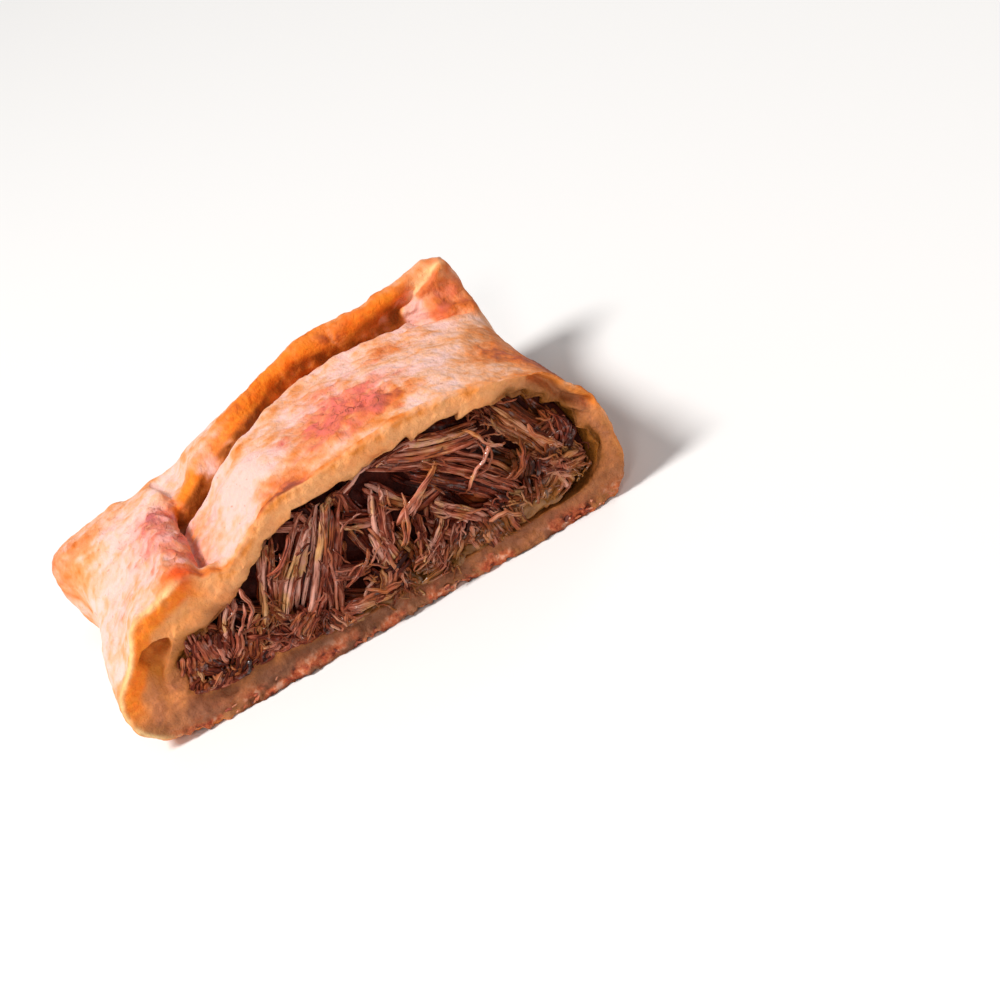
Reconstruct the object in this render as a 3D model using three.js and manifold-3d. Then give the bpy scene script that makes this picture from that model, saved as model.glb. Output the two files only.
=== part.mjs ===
// Half of a baked empanada: a folded pastry crust, cut across, with its shredded beef filling.
// Millimetres, +Z up. The cut face looks along -Y, the folded end lies at +Y,
// the smooth side fold at +X and the overlapping side flap at -X.
import * as THREE from "three";
import { mergeVertices } from "three/addons/utils/BufferGeometryUtils.js";
import Module from "manifold-3d";

const wasm = await Module();
wasm.setup();

// Driving dimensions of the crust
const cutWidth = 102; // across the cut face
const halfDepth = 72; // from the cut face to the folded end
const crownHeight = 34.4; // top of the cut face
const shoulderHeight = 25; // top of the body beside the side flap
const shoulderLength = 20; // from the side flap's free edge up to the crown
const sideHeight = 13.5; // top of the body under the side flap's root
const endHeight = { left: 15, right: 23 }; // top of the body at the folded end
const fallCurve = 1.4; // over 1 keeps the crown's fall for the folded end
const waistHeight = 12; // where the sides bulge furthest
const foldHeight = 11; // middle of the folded edges
const foldInset = 2; // how far inside the folded end its flap is rooted
const sideFlare = 7.2; // the left side widens by this towards the folded end
const sideDrawIn = 5.8; // the right side narrows by this
const drawInLength = 18; // over about this length behind the cut
const endRoundness = 3.5; // 2 is an ellipse, more is squarer: the section across
const cornerRoundness = 8; // the same for the corners in plan
const undersideCurve = 1.35; // over 1 flattens the underside into a broad base
const leastRise = 1.5; // least height of the top skin over the waist

// Swells on the top skin: height, place and spread
const crownSwell = { rise: 1.4, x: 21, spread: 14 };
const raisedCorner = { rise: 42, x: 46, y: 31, spread: 8.5 };

// Folded flaps
const flapThickness = 6.4; // doubled dough
const sideFlapReach = 24; // from the side fold to the flap's free edge
const sideFlapInset = 1; // how far inside the side fold it is rooted
const sideFlapRise = { cut: 4, end: -6 }; // its free edge over the shoulder
const sideFlapCorner = { free: 9, fold: 8, droop: 3, power: 7 }; // rounded corners at the folded end
const sideFlapRounding = { across: 0.14, along: 0.05 }; // shares of it that its edges are rounded over
const sideFlapSteps = [14, 20];
const endFlapRounding = { free: 0.25, fold: 0.15, along: 0.06 };
const endFlapSteepness = [1.5, 3.5]; // over 1 raises it early: at the side flap and at the raised corner
const endFlapSteps = [36, 12];
const flapPuff = 1.5; // how far the flaps swell in the middle

// How far the outer skin and the pocket lie inside the body's outline, and their steps along X, Y and Z
const skin = { front: 0, back: 0, left: 0, right: 0, top: 0, base: 0 };
const skinSteps = [34, 22, 10];
const pocket = { front: -6, back: 12, left: 11.5, right: 4.6, top: 4.2, base: 4.6 };
const pocketSteps = [26, 14, 8];

// Shredded beef
const beefGap = 0.3; // keeps the filling clear of the dough
const beefRecess = 2.6; // core behind the cut face
const lowerDepth = 2.2; // strands lying on the core
const upperDepth = 0.8; // strands lying over those
const strandWidth = [1.65, 2.75];
const strandTip = 0.55; // width of a strand's tips as a share of its middle
const strandBow = 0.7; // how far a strand's middle comes forward
const strandSway = 0.8; // and how far it may lie to one side
const strandWaver = 0.08; // how far the strands of a bundle end apart, as a share of its length
const startSpread = [0.7, 1]; // how close the strands of a bundle lie where they start
const endSpread = [0.8, 1.3]; // and where they end
const strandSides = 5;
const strandSteps = 3;

const finest = 0.04; // relief smaller than this is left out

// Bundles of strands on the cut face: start x and z, end x and z, strands, spread across
const lowerBundles = [
  [8, 30, 27, 24, 5, 7],
  [16, 25, 30, 11, 5, 8],
  [32, 27, 39, 13, 4, 6],
  [42, 19, 43, 8, 3, 4],
  [-14, 26, -20, 12, 3, 4],
  [-25, 21, -29, 9, 3, 5],
  [-35, 17, -30, 7, 3, 5],
  [-8, 14, 1, 11, 3, 5],
  [4, 18, 5, 6, 3, 6],
  [-1, 23, 6, 20, 3, 5],
  [1, 28, 8, 23, 2, 4],
  [35, 28, 42, 19, 3, 4],
];
const upperBundles = [
  [-4, 27, -16, 10, 4, 5],
  [-1, 27, -11, 8, 4, 5],
  [30, 23, 21, 16, 1, 0],
  [19, 24, 8, 16, 2, 2],
  [15, 16, 9, 8, 4, 7],
  [16, 17, 25, 8, 3, 4],
  [30, 10, 41, 9, 3, 4],
  [-9, 8, 2, 6, 2, 3],
  [-26, 14, -20, 10, 2, 4],
];

const cutY = -halfDepth / 2;
const backY = halfDepth / 2;
const rightX = cutWidth / 2;
const leftX = -cutWidth / 2;
const flapEdgeX = leftX + sideFlapReach;

const { lerp, smoothstep } = THREE.MathUtils;

// A repeatable random number from 0 to 1
let seed = 11;
function random() {
  seed = (seed * 16807) % 2147483647;
  return seed / 2147483647;
}
function between(low, high) {
  return lerp(low, high, random());
}

// A closed three.js geometry as a solid that can be joined and cut
function solidOf(geometry) {
  geometry.deleteAttribute("normal");
  geometry.deleteAttribute("uv");
  const merged = mergeVertices(geometry, 1e-4);
  const corners = merged.index.array;
  const kept = [];
  for (let i = 0; i < corners.length; i += 3) {
    const [a, b, c] = corners.slice(i, i + 3);
    if (a !== b && b !== c && c !== a) kept.push(a, b, c);
  }
  return new wasm.Manifold(
    new wasm.Mesh({
      numProp: 3,
      vertProperties: merged.attributes.position.array,
      triVerts: new Uint32Array(kept),
    }),
  );
}

// The outer skin of a solid: a hollow that joining sealed is filled and a loose scrap dropped
function largestBody(solid) {
  return solid.decompose().reduce((a, b) => (b.volume() > a.volume() ? b : a));
}

function geometryOf(solid) {
  const mesh = solid.getMesh();
  const geometry = new THREE.BufferGeometry();
  geometry.setAttribute("position", new THREE.BufferAttribute(mesh.vertProperties, 3));
  geometry.setIndex(new THREE.BufferAttribute(mesh.triVerts, 1));
  geometry.computeVertexNormals();
  return geometry;
}

// Moves every vertex of a geometry to the place that a function gives it
function reshape(geometry, place) {
  const position = geometry.getAttribute("position");
  const p = new THREE.Vector3();
  for (let i = 0; i < position.count; i++) {
    p.fromBufferAttribute(position, i);
    place(p);
    position.setXYZ(i, p.x, p.y, p.z);
  }
  return geometry;
}

// The sides of the body in plan: the left one flares towards the back, the right one draws in
function leftSide(y) {
  return leftX + 1 - sideFlare * smoothstep(y, cutY / 4, backY);
}
function rightSide(y) {
  return rightX - sideDrawIn * (1 - Math.exp((cutY - y) / drawInLength));
}

// The height of the body's top skin: high at the cut, low under the side flap and at the folded end
function crown(x, y) {
  const underFlap = lerp(sideHeight, shoulderHeight, smoothstep(x, leftX, flapEdgeX));
  const swell = crownSwell.rise * Math.exp(-(((x - crownSwell.x) / crownSwell.spread) ** 2));
  const shoulder = smoothstep(x, flapEdgeX, flapEdgeX + shoulderLength);
  const atCut = lerp(underFlap, crownHeight + swell, shoulder);
  const atEnd = lerp(endHeight.left, endHeight.right, shoulder);
  const fromCorner = Math.hypot(x - raisedCorner.x, y - raisedCorner.y) / raisedCorner.spread;
  const corner = raisedCorner.rise * Math.exp(-(fromCorner ** 2));
  return lerp(atCut, atEnd, ((y - cutY) / halfDepth) ** fallCurve) + corner;
}

// A pillow with a flat base, drawn in from the body's skin by the given amounts
function pillow(inset, steps) {
  const box = new THREE.BoxGeometry(2, 1, 2, ...steps);
  return reshape(box, (p) => {
    const [u, v, w] = [p.x, p.y + 0.5, p.z];
    const section = (Math.abs(u) ** endRoundness + Math.abs(w) ** endRoundness) ** (1 / endRoundness);
    const size = (section ** cornerRoundness + v ** cornerRoundness) ** (1 / cornerRoundness);
    const scale = size > 0 ? Math.max(Math.abs(u), v, Math.abs(w)) / size : 1;
    const y = lerp(cutY + inset.front, backY - inset.back, v * scale);
    const bodyY = Math.max(y, cutY);
    const x = lerp(leftSide(bodyY) + inset.left, rightSide(bodyY) - inset.right, (u * scale + 1) / 2);
    const top = crown(x, bodyY) - inset.top;
    const waist = Math.min(waistHeight, top - leastRise);
    const rise = w > 0 ? top - waist : undersideCurve * (waist - inset.base);
    p.set(x, y, Math.max(inset.base, waist + rise * w * scale));
  });
}

// A folded flap: a middle surface with a half thickness on both sides, rounded at its free edges
function flap(middle, halfThickness, across, along) {
  const box = new THREE.BoxGeometry(1, 1, 1, across, along, 1);
  const step = 1e-3;
  return reshape(box, (p) => {
    const [u, v, side] = [p.x + 0.5, p.y + 0.5, 2 * p.z];
    const here = middle(u, v);
    const alongU = u < 0.5 ? middle(u + step, v).sub(here) : here.clone().sub(middle(u - step, v));
    const alongV = v < 0.5 ? middle(u, v + step).sub(here) : here.clone().sub(middle(u, v - step));
    const normal = alongU.cross(alongV).normalize();
    p.copy(here).addScaledVector(normal, side * halfThickness(u, v));
  });
}

// A half-round edge: 1 inside, falling to 0 where t reaches 1
function edge(t, width) {
  const s = Math.max(0, (t - 1 + width) / width);
  return Math.sqrt(Math.max(0, 1 - s * s));
}

// The flap on the left: folded up from the side, laid over the shoulder and lifted at the cut
function sideFlap() {
  const frontY = cutY - flapThickness;
  const endY = backY - flapThickness / 2;
  const middle = (u, v) => {
    const y = lerp(frontY, endY, v);
    const rise = lerp(sideFlapRise.cut, sideFlapRise.end, smoothstep(y, frontY, backY));
    const corner = v ** sideFlapCorner.power;
    const freeX = flapEdgeX - sideFlapCorner.free * corner;
    const freeZ = shoulderHeight + rise - sideFlapCorner.droop * corner;
    const foldX = leftSide(y) + sideFlapInset + sideFlapCorner.fold * corner ** 2;
    const puff = flapPuff * Math.sin(Math.PI * u) * (1 - corner);
    return new THREE.Vector3(lerp(foldX, freeX, u), y, lerp(foldHeight, freeZ, u) + puff);
  };
  const { across, along } = sideFlapRounding;
  const half = (u, v) => (flapThickness / 2) * edge(u, across) * edge(1 - u, across) * edge(v, along);
  return flap(middle, half, ...sideFlapSteps);
}

// The flap at the folded end: its free edge curves in from the side flap and runs on to the raised corner
const endFlapEdge = new THREE.CatmullRomCurve3([
  new THREE.Vector3(-40, -10, 14),
  new THREE.Vector3(-23, 1, 21.8),
  new THREE.Vector3(-6, 17, 24.5),
  new THREE.Vector3(6, 24, 26),
  new THREE.Vector3(24, 25, 27),
  new THREE.Vector3(42, 29.5, 29),
]);
const endFold = new THREE.CatmullRomCurve3([
  new THREE.Vector3(-46, 18, foldHeight),
  new THREE.Vector3(-40, backY - foldInset - 2.5, foldHeight),
  new THREE.Vector3(0, backY - foldInset, foldHeight),
  new THREE.Vector3(34, backY - foldInset - 1.5, foldHeight + 1),
  new THREE.Vector3(40, backY - foldInset - 4, foldHeight + 3),
]);
function endFlap() {
  const middle = (u, v) => {
    const fold = endFold.getPoint(u);
    const free = endFlapEdge.getPoint(u);
    const steepness = lerp(...endFlapSteepness, u);
    const puff = flapPuff * u * Math.sin(Math.PI * v);
    const z = lerp(fold.z, free.z, 1 - (1 - v) ** steepness) + puff;
    return fold.lerp(free, v).setZ(z);
  };
  const { free, fold, along } = endFlapRounding;
  const half = (u, v) => (flapThickness / 2) * edge(v, free) * edge(1 - v, fold) * edge(u, along);
  return flap(middle, half, ...endFlapSteps);
}

// The crust: the filled body and its folded flaps, hollowed by the pocket and trimmed flat at the cut
function pastry() {
  const reach = 40;
  const beyondCut = new THREE.BoxGeometry(2 * cutWidth, reach, 2 * cutWidth);
  beyondCut.translate(0, cutY - reach / 2, 0);
  const wrapped = wasm.Manifold.union([
    solidOf(pillow(skin, skinSteps)),
    solidOf(sideFlap()),
    solidOf(endFlap()),
  ]);
  const hollowed = wrapped.subtract(solidOf(pillow(pocket, pocketSteps)));
  return largestBody(hollowed.subtract(solidOf(beyondCut)).asOriginal().simplify(finest));
}

// One strand of beef: a tapered, slightly bowed stick between two points
function strand(from, to, width, bow) {
  const along = to.clone().sub(from);
  const across = new THREE.Vector3(-along.z, 0, along.x).normalize();
  const stick = new THREE.CylinderGeometry(width / 2, width / 2, 1, strandSides, strandSteps);
  return reshape(stick, (p) => {
    const t = p.y + 0.5;
    const swell = lerp(strandTip, 1, Math.sqrt(Math.sin(Math.PI * t)));
    const offset = p.x * swell + bow * Math.sin(Math.PI * t);
    const outward = p.z * swell - strandBow * Math.sin(Math.PI * t);
    p.lerpVectors(from, to, t).addScaledVector(across, offset);
    p.y += outward;
  });
}

// A bundle of side by side strands from one place on the cut face to another
function bundle([startX, startZ, endX, endZ, count, spread], depth) {
  const strands = [];
  for (let i = 0; i < count; i++) {
    const shift = count > 1 ? (i / (count - 1) - 0.5) * spread : 0;
    const start = new THREE.Vector3(startX, cutY + depth, startZ);
    const end = new THREE.Vector3(endX, cutY + depth, endZ);
    const along = end.clone().sub(start);
    const across = new THREE.Vector3(-along.z, 0, along.x).normalize();
    start.addScaledVector(across, shift * between(...startSpread));
    start.addScaledVector(along, between(-strandWaver, strandWaver));
    end.addScaledVector(across, shift * between(...endSpread));
    end.addScaledVector(along, between(-strandWaver, strandWaver));
    const sway = between(-strandSway, strandSway);
    strands.push(solidOf(strand(start, end, between(...strandWidth), sway)));
  }
  return strands;
}

// The shredded beef: a core that fills the pocket, with the strands that show at the cut fused on
function shreddedBeef() {
  const clear = {};
  for (const side in pocket) clear[side] = pocket[side] + beefGap;
  clear.front = pocket.front;
  const core = solidOf(pillow({ ...clear, front: beefRecess }, pocketSteps));
  const room = solidOf(pillow(clear, pocketSteps));
  const strands = [];
  for (const row of lowerBundles) strands.push(...bundle(row, lowerDepth));
  for (const row of upperBundles) strands.push(...bundle(row, upperDepth));
  const fused = wasm.Manifold.union([core, ...strands]).intersect(room);
  return largestBody(fused.asOriginal().simplify(finest));
}

const crust = new THREE.Mesh(
  geometryOf(pastry()),
  new THREE.MeshStandardMaterial({ color: 0xe9b98a, roughness: 0.7, metalness: 0 }),
);
crust.name = "crust";

const filling = new THREE.Mesh(
  geometryOf(shreddedBeef()),
  new THREE.MeshStandardMaterial({ color: 0x6e3a2c, roughness: 0.45, metalness: 0 }),
);
filling.name = "filling";

const empanada = new THREE.Group();
empanada.add(crust, filling);

// The origin is the middle of the base
const middle = new THREE.Box3().setFromObject(empanada).getCenter(new THREE.Vector3());
for (const piece of empanada.children) piece.position.set(-middle.x, -middle.y, 0);

export default empanada;
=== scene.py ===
import math

import bmesh
import bpy
import numpy as np
from mathutils import Matrix, Vector, kdtree, noise
from mathutils.bvhtree import BVHTree


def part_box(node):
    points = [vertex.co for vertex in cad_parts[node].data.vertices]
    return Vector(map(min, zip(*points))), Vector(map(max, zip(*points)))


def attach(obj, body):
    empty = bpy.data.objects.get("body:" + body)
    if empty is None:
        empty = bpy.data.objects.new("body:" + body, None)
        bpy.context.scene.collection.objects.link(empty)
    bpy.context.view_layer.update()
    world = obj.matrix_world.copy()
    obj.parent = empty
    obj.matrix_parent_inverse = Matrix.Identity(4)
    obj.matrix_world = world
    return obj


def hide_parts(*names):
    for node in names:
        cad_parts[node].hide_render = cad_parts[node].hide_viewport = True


# Half an empanada, cut across: browned crust, crumb at the cut, shredded beef, gravy and crumbs.
# Places are in millimetres: x along the cut face, back is the way behind the cut face, z up.

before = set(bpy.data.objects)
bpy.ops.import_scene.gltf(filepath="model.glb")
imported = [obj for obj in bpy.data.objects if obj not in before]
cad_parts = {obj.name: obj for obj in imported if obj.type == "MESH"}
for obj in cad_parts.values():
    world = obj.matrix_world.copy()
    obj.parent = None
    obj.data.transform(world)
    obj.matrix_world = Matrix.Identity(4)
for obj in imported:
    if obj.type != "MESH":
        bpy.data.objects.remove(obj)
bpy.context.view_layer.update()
mm = 0.001
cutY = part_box("crust")[0].y / mm


# Shared mesh helpers

def newPiece(name, mesh):
    piece = bpy.data.objects.new(name, mesh)
    bpy.context.scene.collection.objects.link(piece)
    return piece


def pieceFrom(name, bm):
    mesh = bpy.data.meshes.new(name)
    bm.to_mesh(mesh)
    bm.free()
    return newPiece(name, mesh)


def nodeBmesh(name):  # a CAD node is loose triangles, so its copy is merged
    bm = bmesh.new()
    bm.from_mesh(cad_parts[name].data)
    bmesh.ops.remove_doubles(bm, verts=bm.verts, dist=1e-6)
    return bm


def applyModifiers(piece):
    graph = bpy.context.evaluated_depsgraph_get()
    mesh = bpy.data.meshes.new_from_object(piece.evaluated_get(graph))
    piece.modifiers.clear()
    piece.data = mesh


def voxelRemesh(piece, size):
    remesh = piece.modifiers.new("voxels", "REMESH")
    remesh.mode = "VOXEL"
    remesh.voxel_size = size * mm
    applyModifiers(piece)


def shadeSmooth(mesh):
    mesh.polygons.foreach_set("use_smooth", np.ones(len(mesh.polygons), dtype=bool))


def pointsOf(mesh):
    co = np.empty(len(mesh.vertices) * 3)
    mesh.vertices.foreach_get("co", co)
    co = co.reshape(-1, 3) / mm
    co[:, 1] -= cutY
    return co


def setPoints(mesh, points):
    co = points.copy()
    co[:, 1] += cutY
    mesh.vertices.foreach_set("co", (co * mm).ravel())
    mesh.update()


def normalsOf(mesh):
    normals = np.empty(len(mesh.vertices) * 3)
    mesh.vertex_normals.foreach_get("vector", normals)
    return normals.reshape(-1, 3)


def spread(values, mesh, times):  # averages values with their neighbours
    links = np.empty(len(mesh.edges) * 2, dtype=int)
    mesh.edges.foreach_get("vertices", links)
    a, b = links.reshape(-1, 2).T
    count = len(mesh.vertices)
    degree = np.maximum(np.bincount(np.concatenate([a, b]), minlength=count), 1)
    result = np.array(values, dtype=float).reshape(count, -1)
    for _ in range(times):
        for k in range(result.shape[1]):
            column = result[:, k]
            total = np.bincount(a, column[b], count) + np.bincount(b, column[a], count)
            result[:, k] = column + 0.5 * (total / degree - column)
    return result.reshape(np.shape(values))


def noiseOf(points, size, octaves=2, shift=0.0):
    places = (points / size + shift).tolist()
    return np.fromiter((noise.fractal(p, 0.9, 2.1, octaves) for p in places), float, len(points))


def ridgesOf(points, size, shift=0.0):  # sharp crests, from about 0 to 1
    places = (points / size + shift).tolist()
    return np.fromiter((1 - 2 * abs(noise.noise(p)) for p in places), float, len(points))


def limited(values):  # kept from 0 to 1
    return np.clip(values, 0, 1)


def ramp(value, low, high):  # 0 at low, 1 at high, smooth between
    t = limited((value - low) / (high - low))
    return t * t * (3 - 2 * t)


def hump(distance, width):  # 1 at no distance, falling to both sides
    return np.exp(-((distance / width) ** 2))


def plateau(distance, flat, width):  # 1 as far as flat, falling after it
    return hump(np.maximum(distance - flat, 0), width)


def unit(way):
    return np.array(way) / np.linalg.norm(way)


def distanceTo(points, place):
    return np.linalg.norm(points - np.array(place), axis=1)


def lineDistance(points, line):  # to the nearest point of a line of points, and that point
    line = np.array(line, dtype=float)
    best = np.full(len(points), np.inf)
    nearest = np.zeros_like(points)
    for start, end in zip(line[:-1], line[1:]):
        along = end - start
        t = limited((points - start) @ along / (along @ along))
        near = start + t[:, None] * along
        distance = np.linalg.norm(points - near, axis=1)
        closer = distance < best
        best = np.where(closer, distance, best)
        nearest[closer] = near[closer]
    return best, nearest


def edgeDistance(places, edge):  # how far x and z are inside a closed line, and its nearest point
    edge = np.array(edge)
    nextEdge = np.roll(edge, -1, axis=0)
    along = nextEdge - edge
    t = limited(((places[:, None] - edge) * along).sum(2) / (along * along).sum(1))
    near = edge + t[..., None] * along
    gap = np.linalg.norm(places[:, None] - near, axis=2)
    best = gap.argmin(1)
    rows = np.arange(len(places))
    crossed = (edge[:, 1] > places[:, 1, None]) != (nextEdge[:, 1] > places[:, 1, None])
    slope = np.where(along[:, 1] == 0, 1e-9, along[:, 1])
    leftOf = places[:, 0, None] < edge[:, 0] + (places[:, 1, None] - edge[:, 1]) * along[:, 0] / slope
    inside = (crossed & leftOf).sum(1) % 2 == 1
    return np.where(inside, gap[rows, best], -gap[rows, best]), near[rows, best]


def paintAttribute(mesh, name, values):
    attribute = mesh.attributes.new(name, "FLOAT", "POINT")
    attribute.data.foreach_set("value", limited(values).astype(np.float32))


def report(piece):
    print(piece.name, sum(len(face.vertices) - 2 for face in piece.data.polygons), "triangles")


def treeOf(name):  # for distances to a CAD node, in millimetres behind the cut
    bm = nodeBmesh(name)
    bmesh.ops.scale(bm, vec=(1 / mm,) * 3, verts=bm.verts)
    bmesh.ops.translate(bm, vec=(0, -cutY, 0), verts=bm.verts)
    tree = BVHTree.FromBMesh(bm)
    bm.free()
    return tree


fillingTree = treeOf("filling")
crustTree = treeOf("crust")


def frontHit(tree, x, z):  # the first point met when looking in at the cut face
    return tree.ray_cast(Vector((x, -20, z)), Vector((0, 1, 0)))[0]


# Shared material helpers

def setInputs(tree, node, inputs):  # a socket is linked, a plain value is set
    for name, value in inputs.items():
        if isinstance(value, bpy.types.NodeSocket):
            tree.links.new(value, node.inputs[name])
        else:
            node.inputs[name].default_value = value


def addNode(tree, kind, inputs=None, **settings):
    node = tree.nodes.new(kind)
    for name, value in settings.items():
        setattr(node, name, value)
    setInputs(tree, node, inputs or {})
    return node


def mixColor(tree, factor, first, second, blend="MIX"):
    colors = [c if isinstance(c, bpy.types.NodeSocket) else (*c, 1) for c in (first, second)]
    inputs = {0: factor, 6: colors[0], 7: colors[1]}
    return addNode(tree, "ShaderNodeMix", inputs, data_type="RGBA", blend_type=blend).outputs[2]


def colorRamp(tree, factor, stops):
    node = addNode(tree, "ShaderNodeValToRGB", {"Fac": factor})
    points = node.color_ramp.elements
    while len(points) < len(stops):
        points.new(1)
    for point, (position, color) in zip(points, stops):
        point.position = position
        point.color = (*color, 1)
    return node.outputs["Color"]


def math2(tree, operation, first, second, clamp=False):
    inputs = {0: first, 1: second}
    return addNode(tree, "ShaderNodeMath", inputs, operation=operation, use_clamp=clamp).outputs[0]


def mapRange(tree, value, low, high, toLow=0.0, toHigh=1.0):
    inputs = {"Value": value, "From Min": low, "From Max": high, "To Min": toLow, "To Max": toHigh}
    return addNode(tree, "ShaderNodeMapRange", inputs).outputs[0]


def varied(tree, value, mask, swing, low=0, high=1):  # a value that goes up and down with a mask
    return math2(tree, "ADD", value, mapRange(tree, mask, low, high, -swing, swing))


def attributeOf(tree, name):
    return addNode(tree, "ShaderNodeAttribute", attribute_name=name).outputs["Fac"]


def objectCoords(tree):
    return addNode(tree, "ShaderNodeTexCoord").outputs["Object"]


def stretched(tree, vector, scale):
    return addNode(tree, "ShaderNodeMapping", {"Vector": vector, "Scale": scale}).outputs["Vector"]


def noiseMask(tree, vector, grain, detail=3.0, rough=0.55):  # grain in millimetres
    inputs = {"Vector": vector, "Scale": 1 / (grain * mm), "Detail": detail, "Roughness": rough}
    return addNode(tree, "ShaderNodeTexNoise", inputs).outputs["Fac"]


def newMaterial(name):
    material = bpy.data.materials.new(name)
    material.use_nodes = True
    tree = material.node_tree
    tree.nodes.clear()
    shader = addNode(tree, "ShaderNodeBsdfPrincipled")
    addNode(tree, "ShaderNodeOutputMaterial", {"Surface": shader.outputs["BSDF"]})
    return material, tree, shader


def newGroup(name, inputs, outputs):
    group = bpy.data.node_groups.new(name, "ShaderNodeTree")
    for way, sockets in (("INPUT", inputs), ("OUTPUT", outputs)):
        for socket in sockets:
            kind = "NodeSocketVector" if socket == "Vector" else "NodeSocketFloat"
            group.interface.new_socket(socket, in_out=way, socket_type=kind)
    return group, addNode(group, "NodeGroupInput").outputs, addNode(group, "NodeGroupOutput")


def patchyGroup():  # broad and fine patches in one mask, and the fine ones as height
    group, given, out = newGroup("patchyTone", ("Vector", "Broad", "Fine"), ("Mask", "Height"))
    masks = {}
    for name in ("Broad", "Fine"):
        inputs = {"Vector": given["Vector"], "Scale": given[name], "Detail": 4.0, "Roughness": 0.6}
        masks[name] = addNode(group, "ShaderNodeTexNoise", inputs).outputs["Fac"]
    broad = math2(group, "MULTIPLY", masks["Broad"], 0.6)
    both = math2(group, "ADD", broad, math2(group, "MULTIPLY", masks["Fine"], 0.4))
    setInputs(group, out, {"Mask": mapRange(group, both, 0.36, 0.64), "Height": masks["Fine"]})
    return group


def sheenGroup():  # wet and drier spots
    group, given, out = newGroup("moistSheen", ("Vector", "Grain", "Wet", "Dry"), ("Roughness",))
    inputs = {"Vector": given["Vector"], "Scale": given["Grain"], "Detail": 2.0}
    spots = addNode(group, "ShaderNodeTexNoise", inputs).outputs["Fac"]
    setInputs(group, out, {"Roughness": mapRange(group, spots, 0.38, 0.62, given["Wet"], given["Dry"])})
    return group


patchyTone = patchyGroup()
moistSheen = sheenGroup()


def patchy(tree, vector, broad, fine):  # patch sizes in millimetres
    inputs = {"Vector": vector, "Broad": 1 / (broad * mm), "Fine": 1 / (fine * mm)}
    node = addNode(tree, "ShaderNodeGroup", inputs, node_tree=patchyTone)
    return node.outputs["Mask"], node.outputs["Height"]


def sheen(tree, vector, grain, wet, dry):
    inputs = {"Vector": vector, "Grain": 1 / (grain * mm), "Wet": wet, "Dry": dry}
    return addNode(tree, "ShaderNodeGroup", inputs, node_tree=moistSheen).outputs["Roughness"]


def bump(tree, height, depth, strength=1.0):  # depth in millimetres
    inputs = {"Height": height, "Distance": depth * mm, "Strength": strength}
    return addNode(tree, "ShaderNodeBump", inputs).outputs["Normal"]


# Crust

crustForm = {
    "extend": 6.0,  # the cut face is run on this far while the facets are smoothed away
    "roughVoxel": 0.7,
    "roughSmooth": 9,
    "voxel": 0.62,
    "smooth": 3,
    "crisp": 0.55,  # how much the folds are sharpened again after smoothing
    "fineFront": 3.2,  # the mesh is finer this far behind the cut
    "fineFold": 2.6,  # and this near a fold
    "deepPocket": 8.0,  # and coarser in the pocket behind this
    "thinned": 0.94,  # the share of hidden faces that goes
    "wallReach": 3.0,  # dough this near the filling is the pocket's wall
    "stretch": (1.0, 0.6, 1.0),  # the dough was drawn out along its depth
    "swell": 0.55,
    "lumps": 0.42,
    "blisters": 0.75,
    "crumb": 0.24,
    "pores": 0.22,
    "ragged": 1.9,
    "teeth": (0.6, 3.2),  # from tooth to tooth along the inner edge
    "toothSeed": 5,
    "toothCount": 200,
    "toothStart": -130,
    "crags": 1.0,  # on the lower edge of the cut
    "notches": 1.5,
    "bead": 0.3,  # the skin curls up at the cut
    "folds": 0.9,  # soaked folds over the beef at the right
    "dish": 1.1,  # the cut dips towards the beef
    "recess": 3.2,  # and steps back at the right
    "cornerLift": 1.2,  # the lower left corner is round
}

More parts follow.
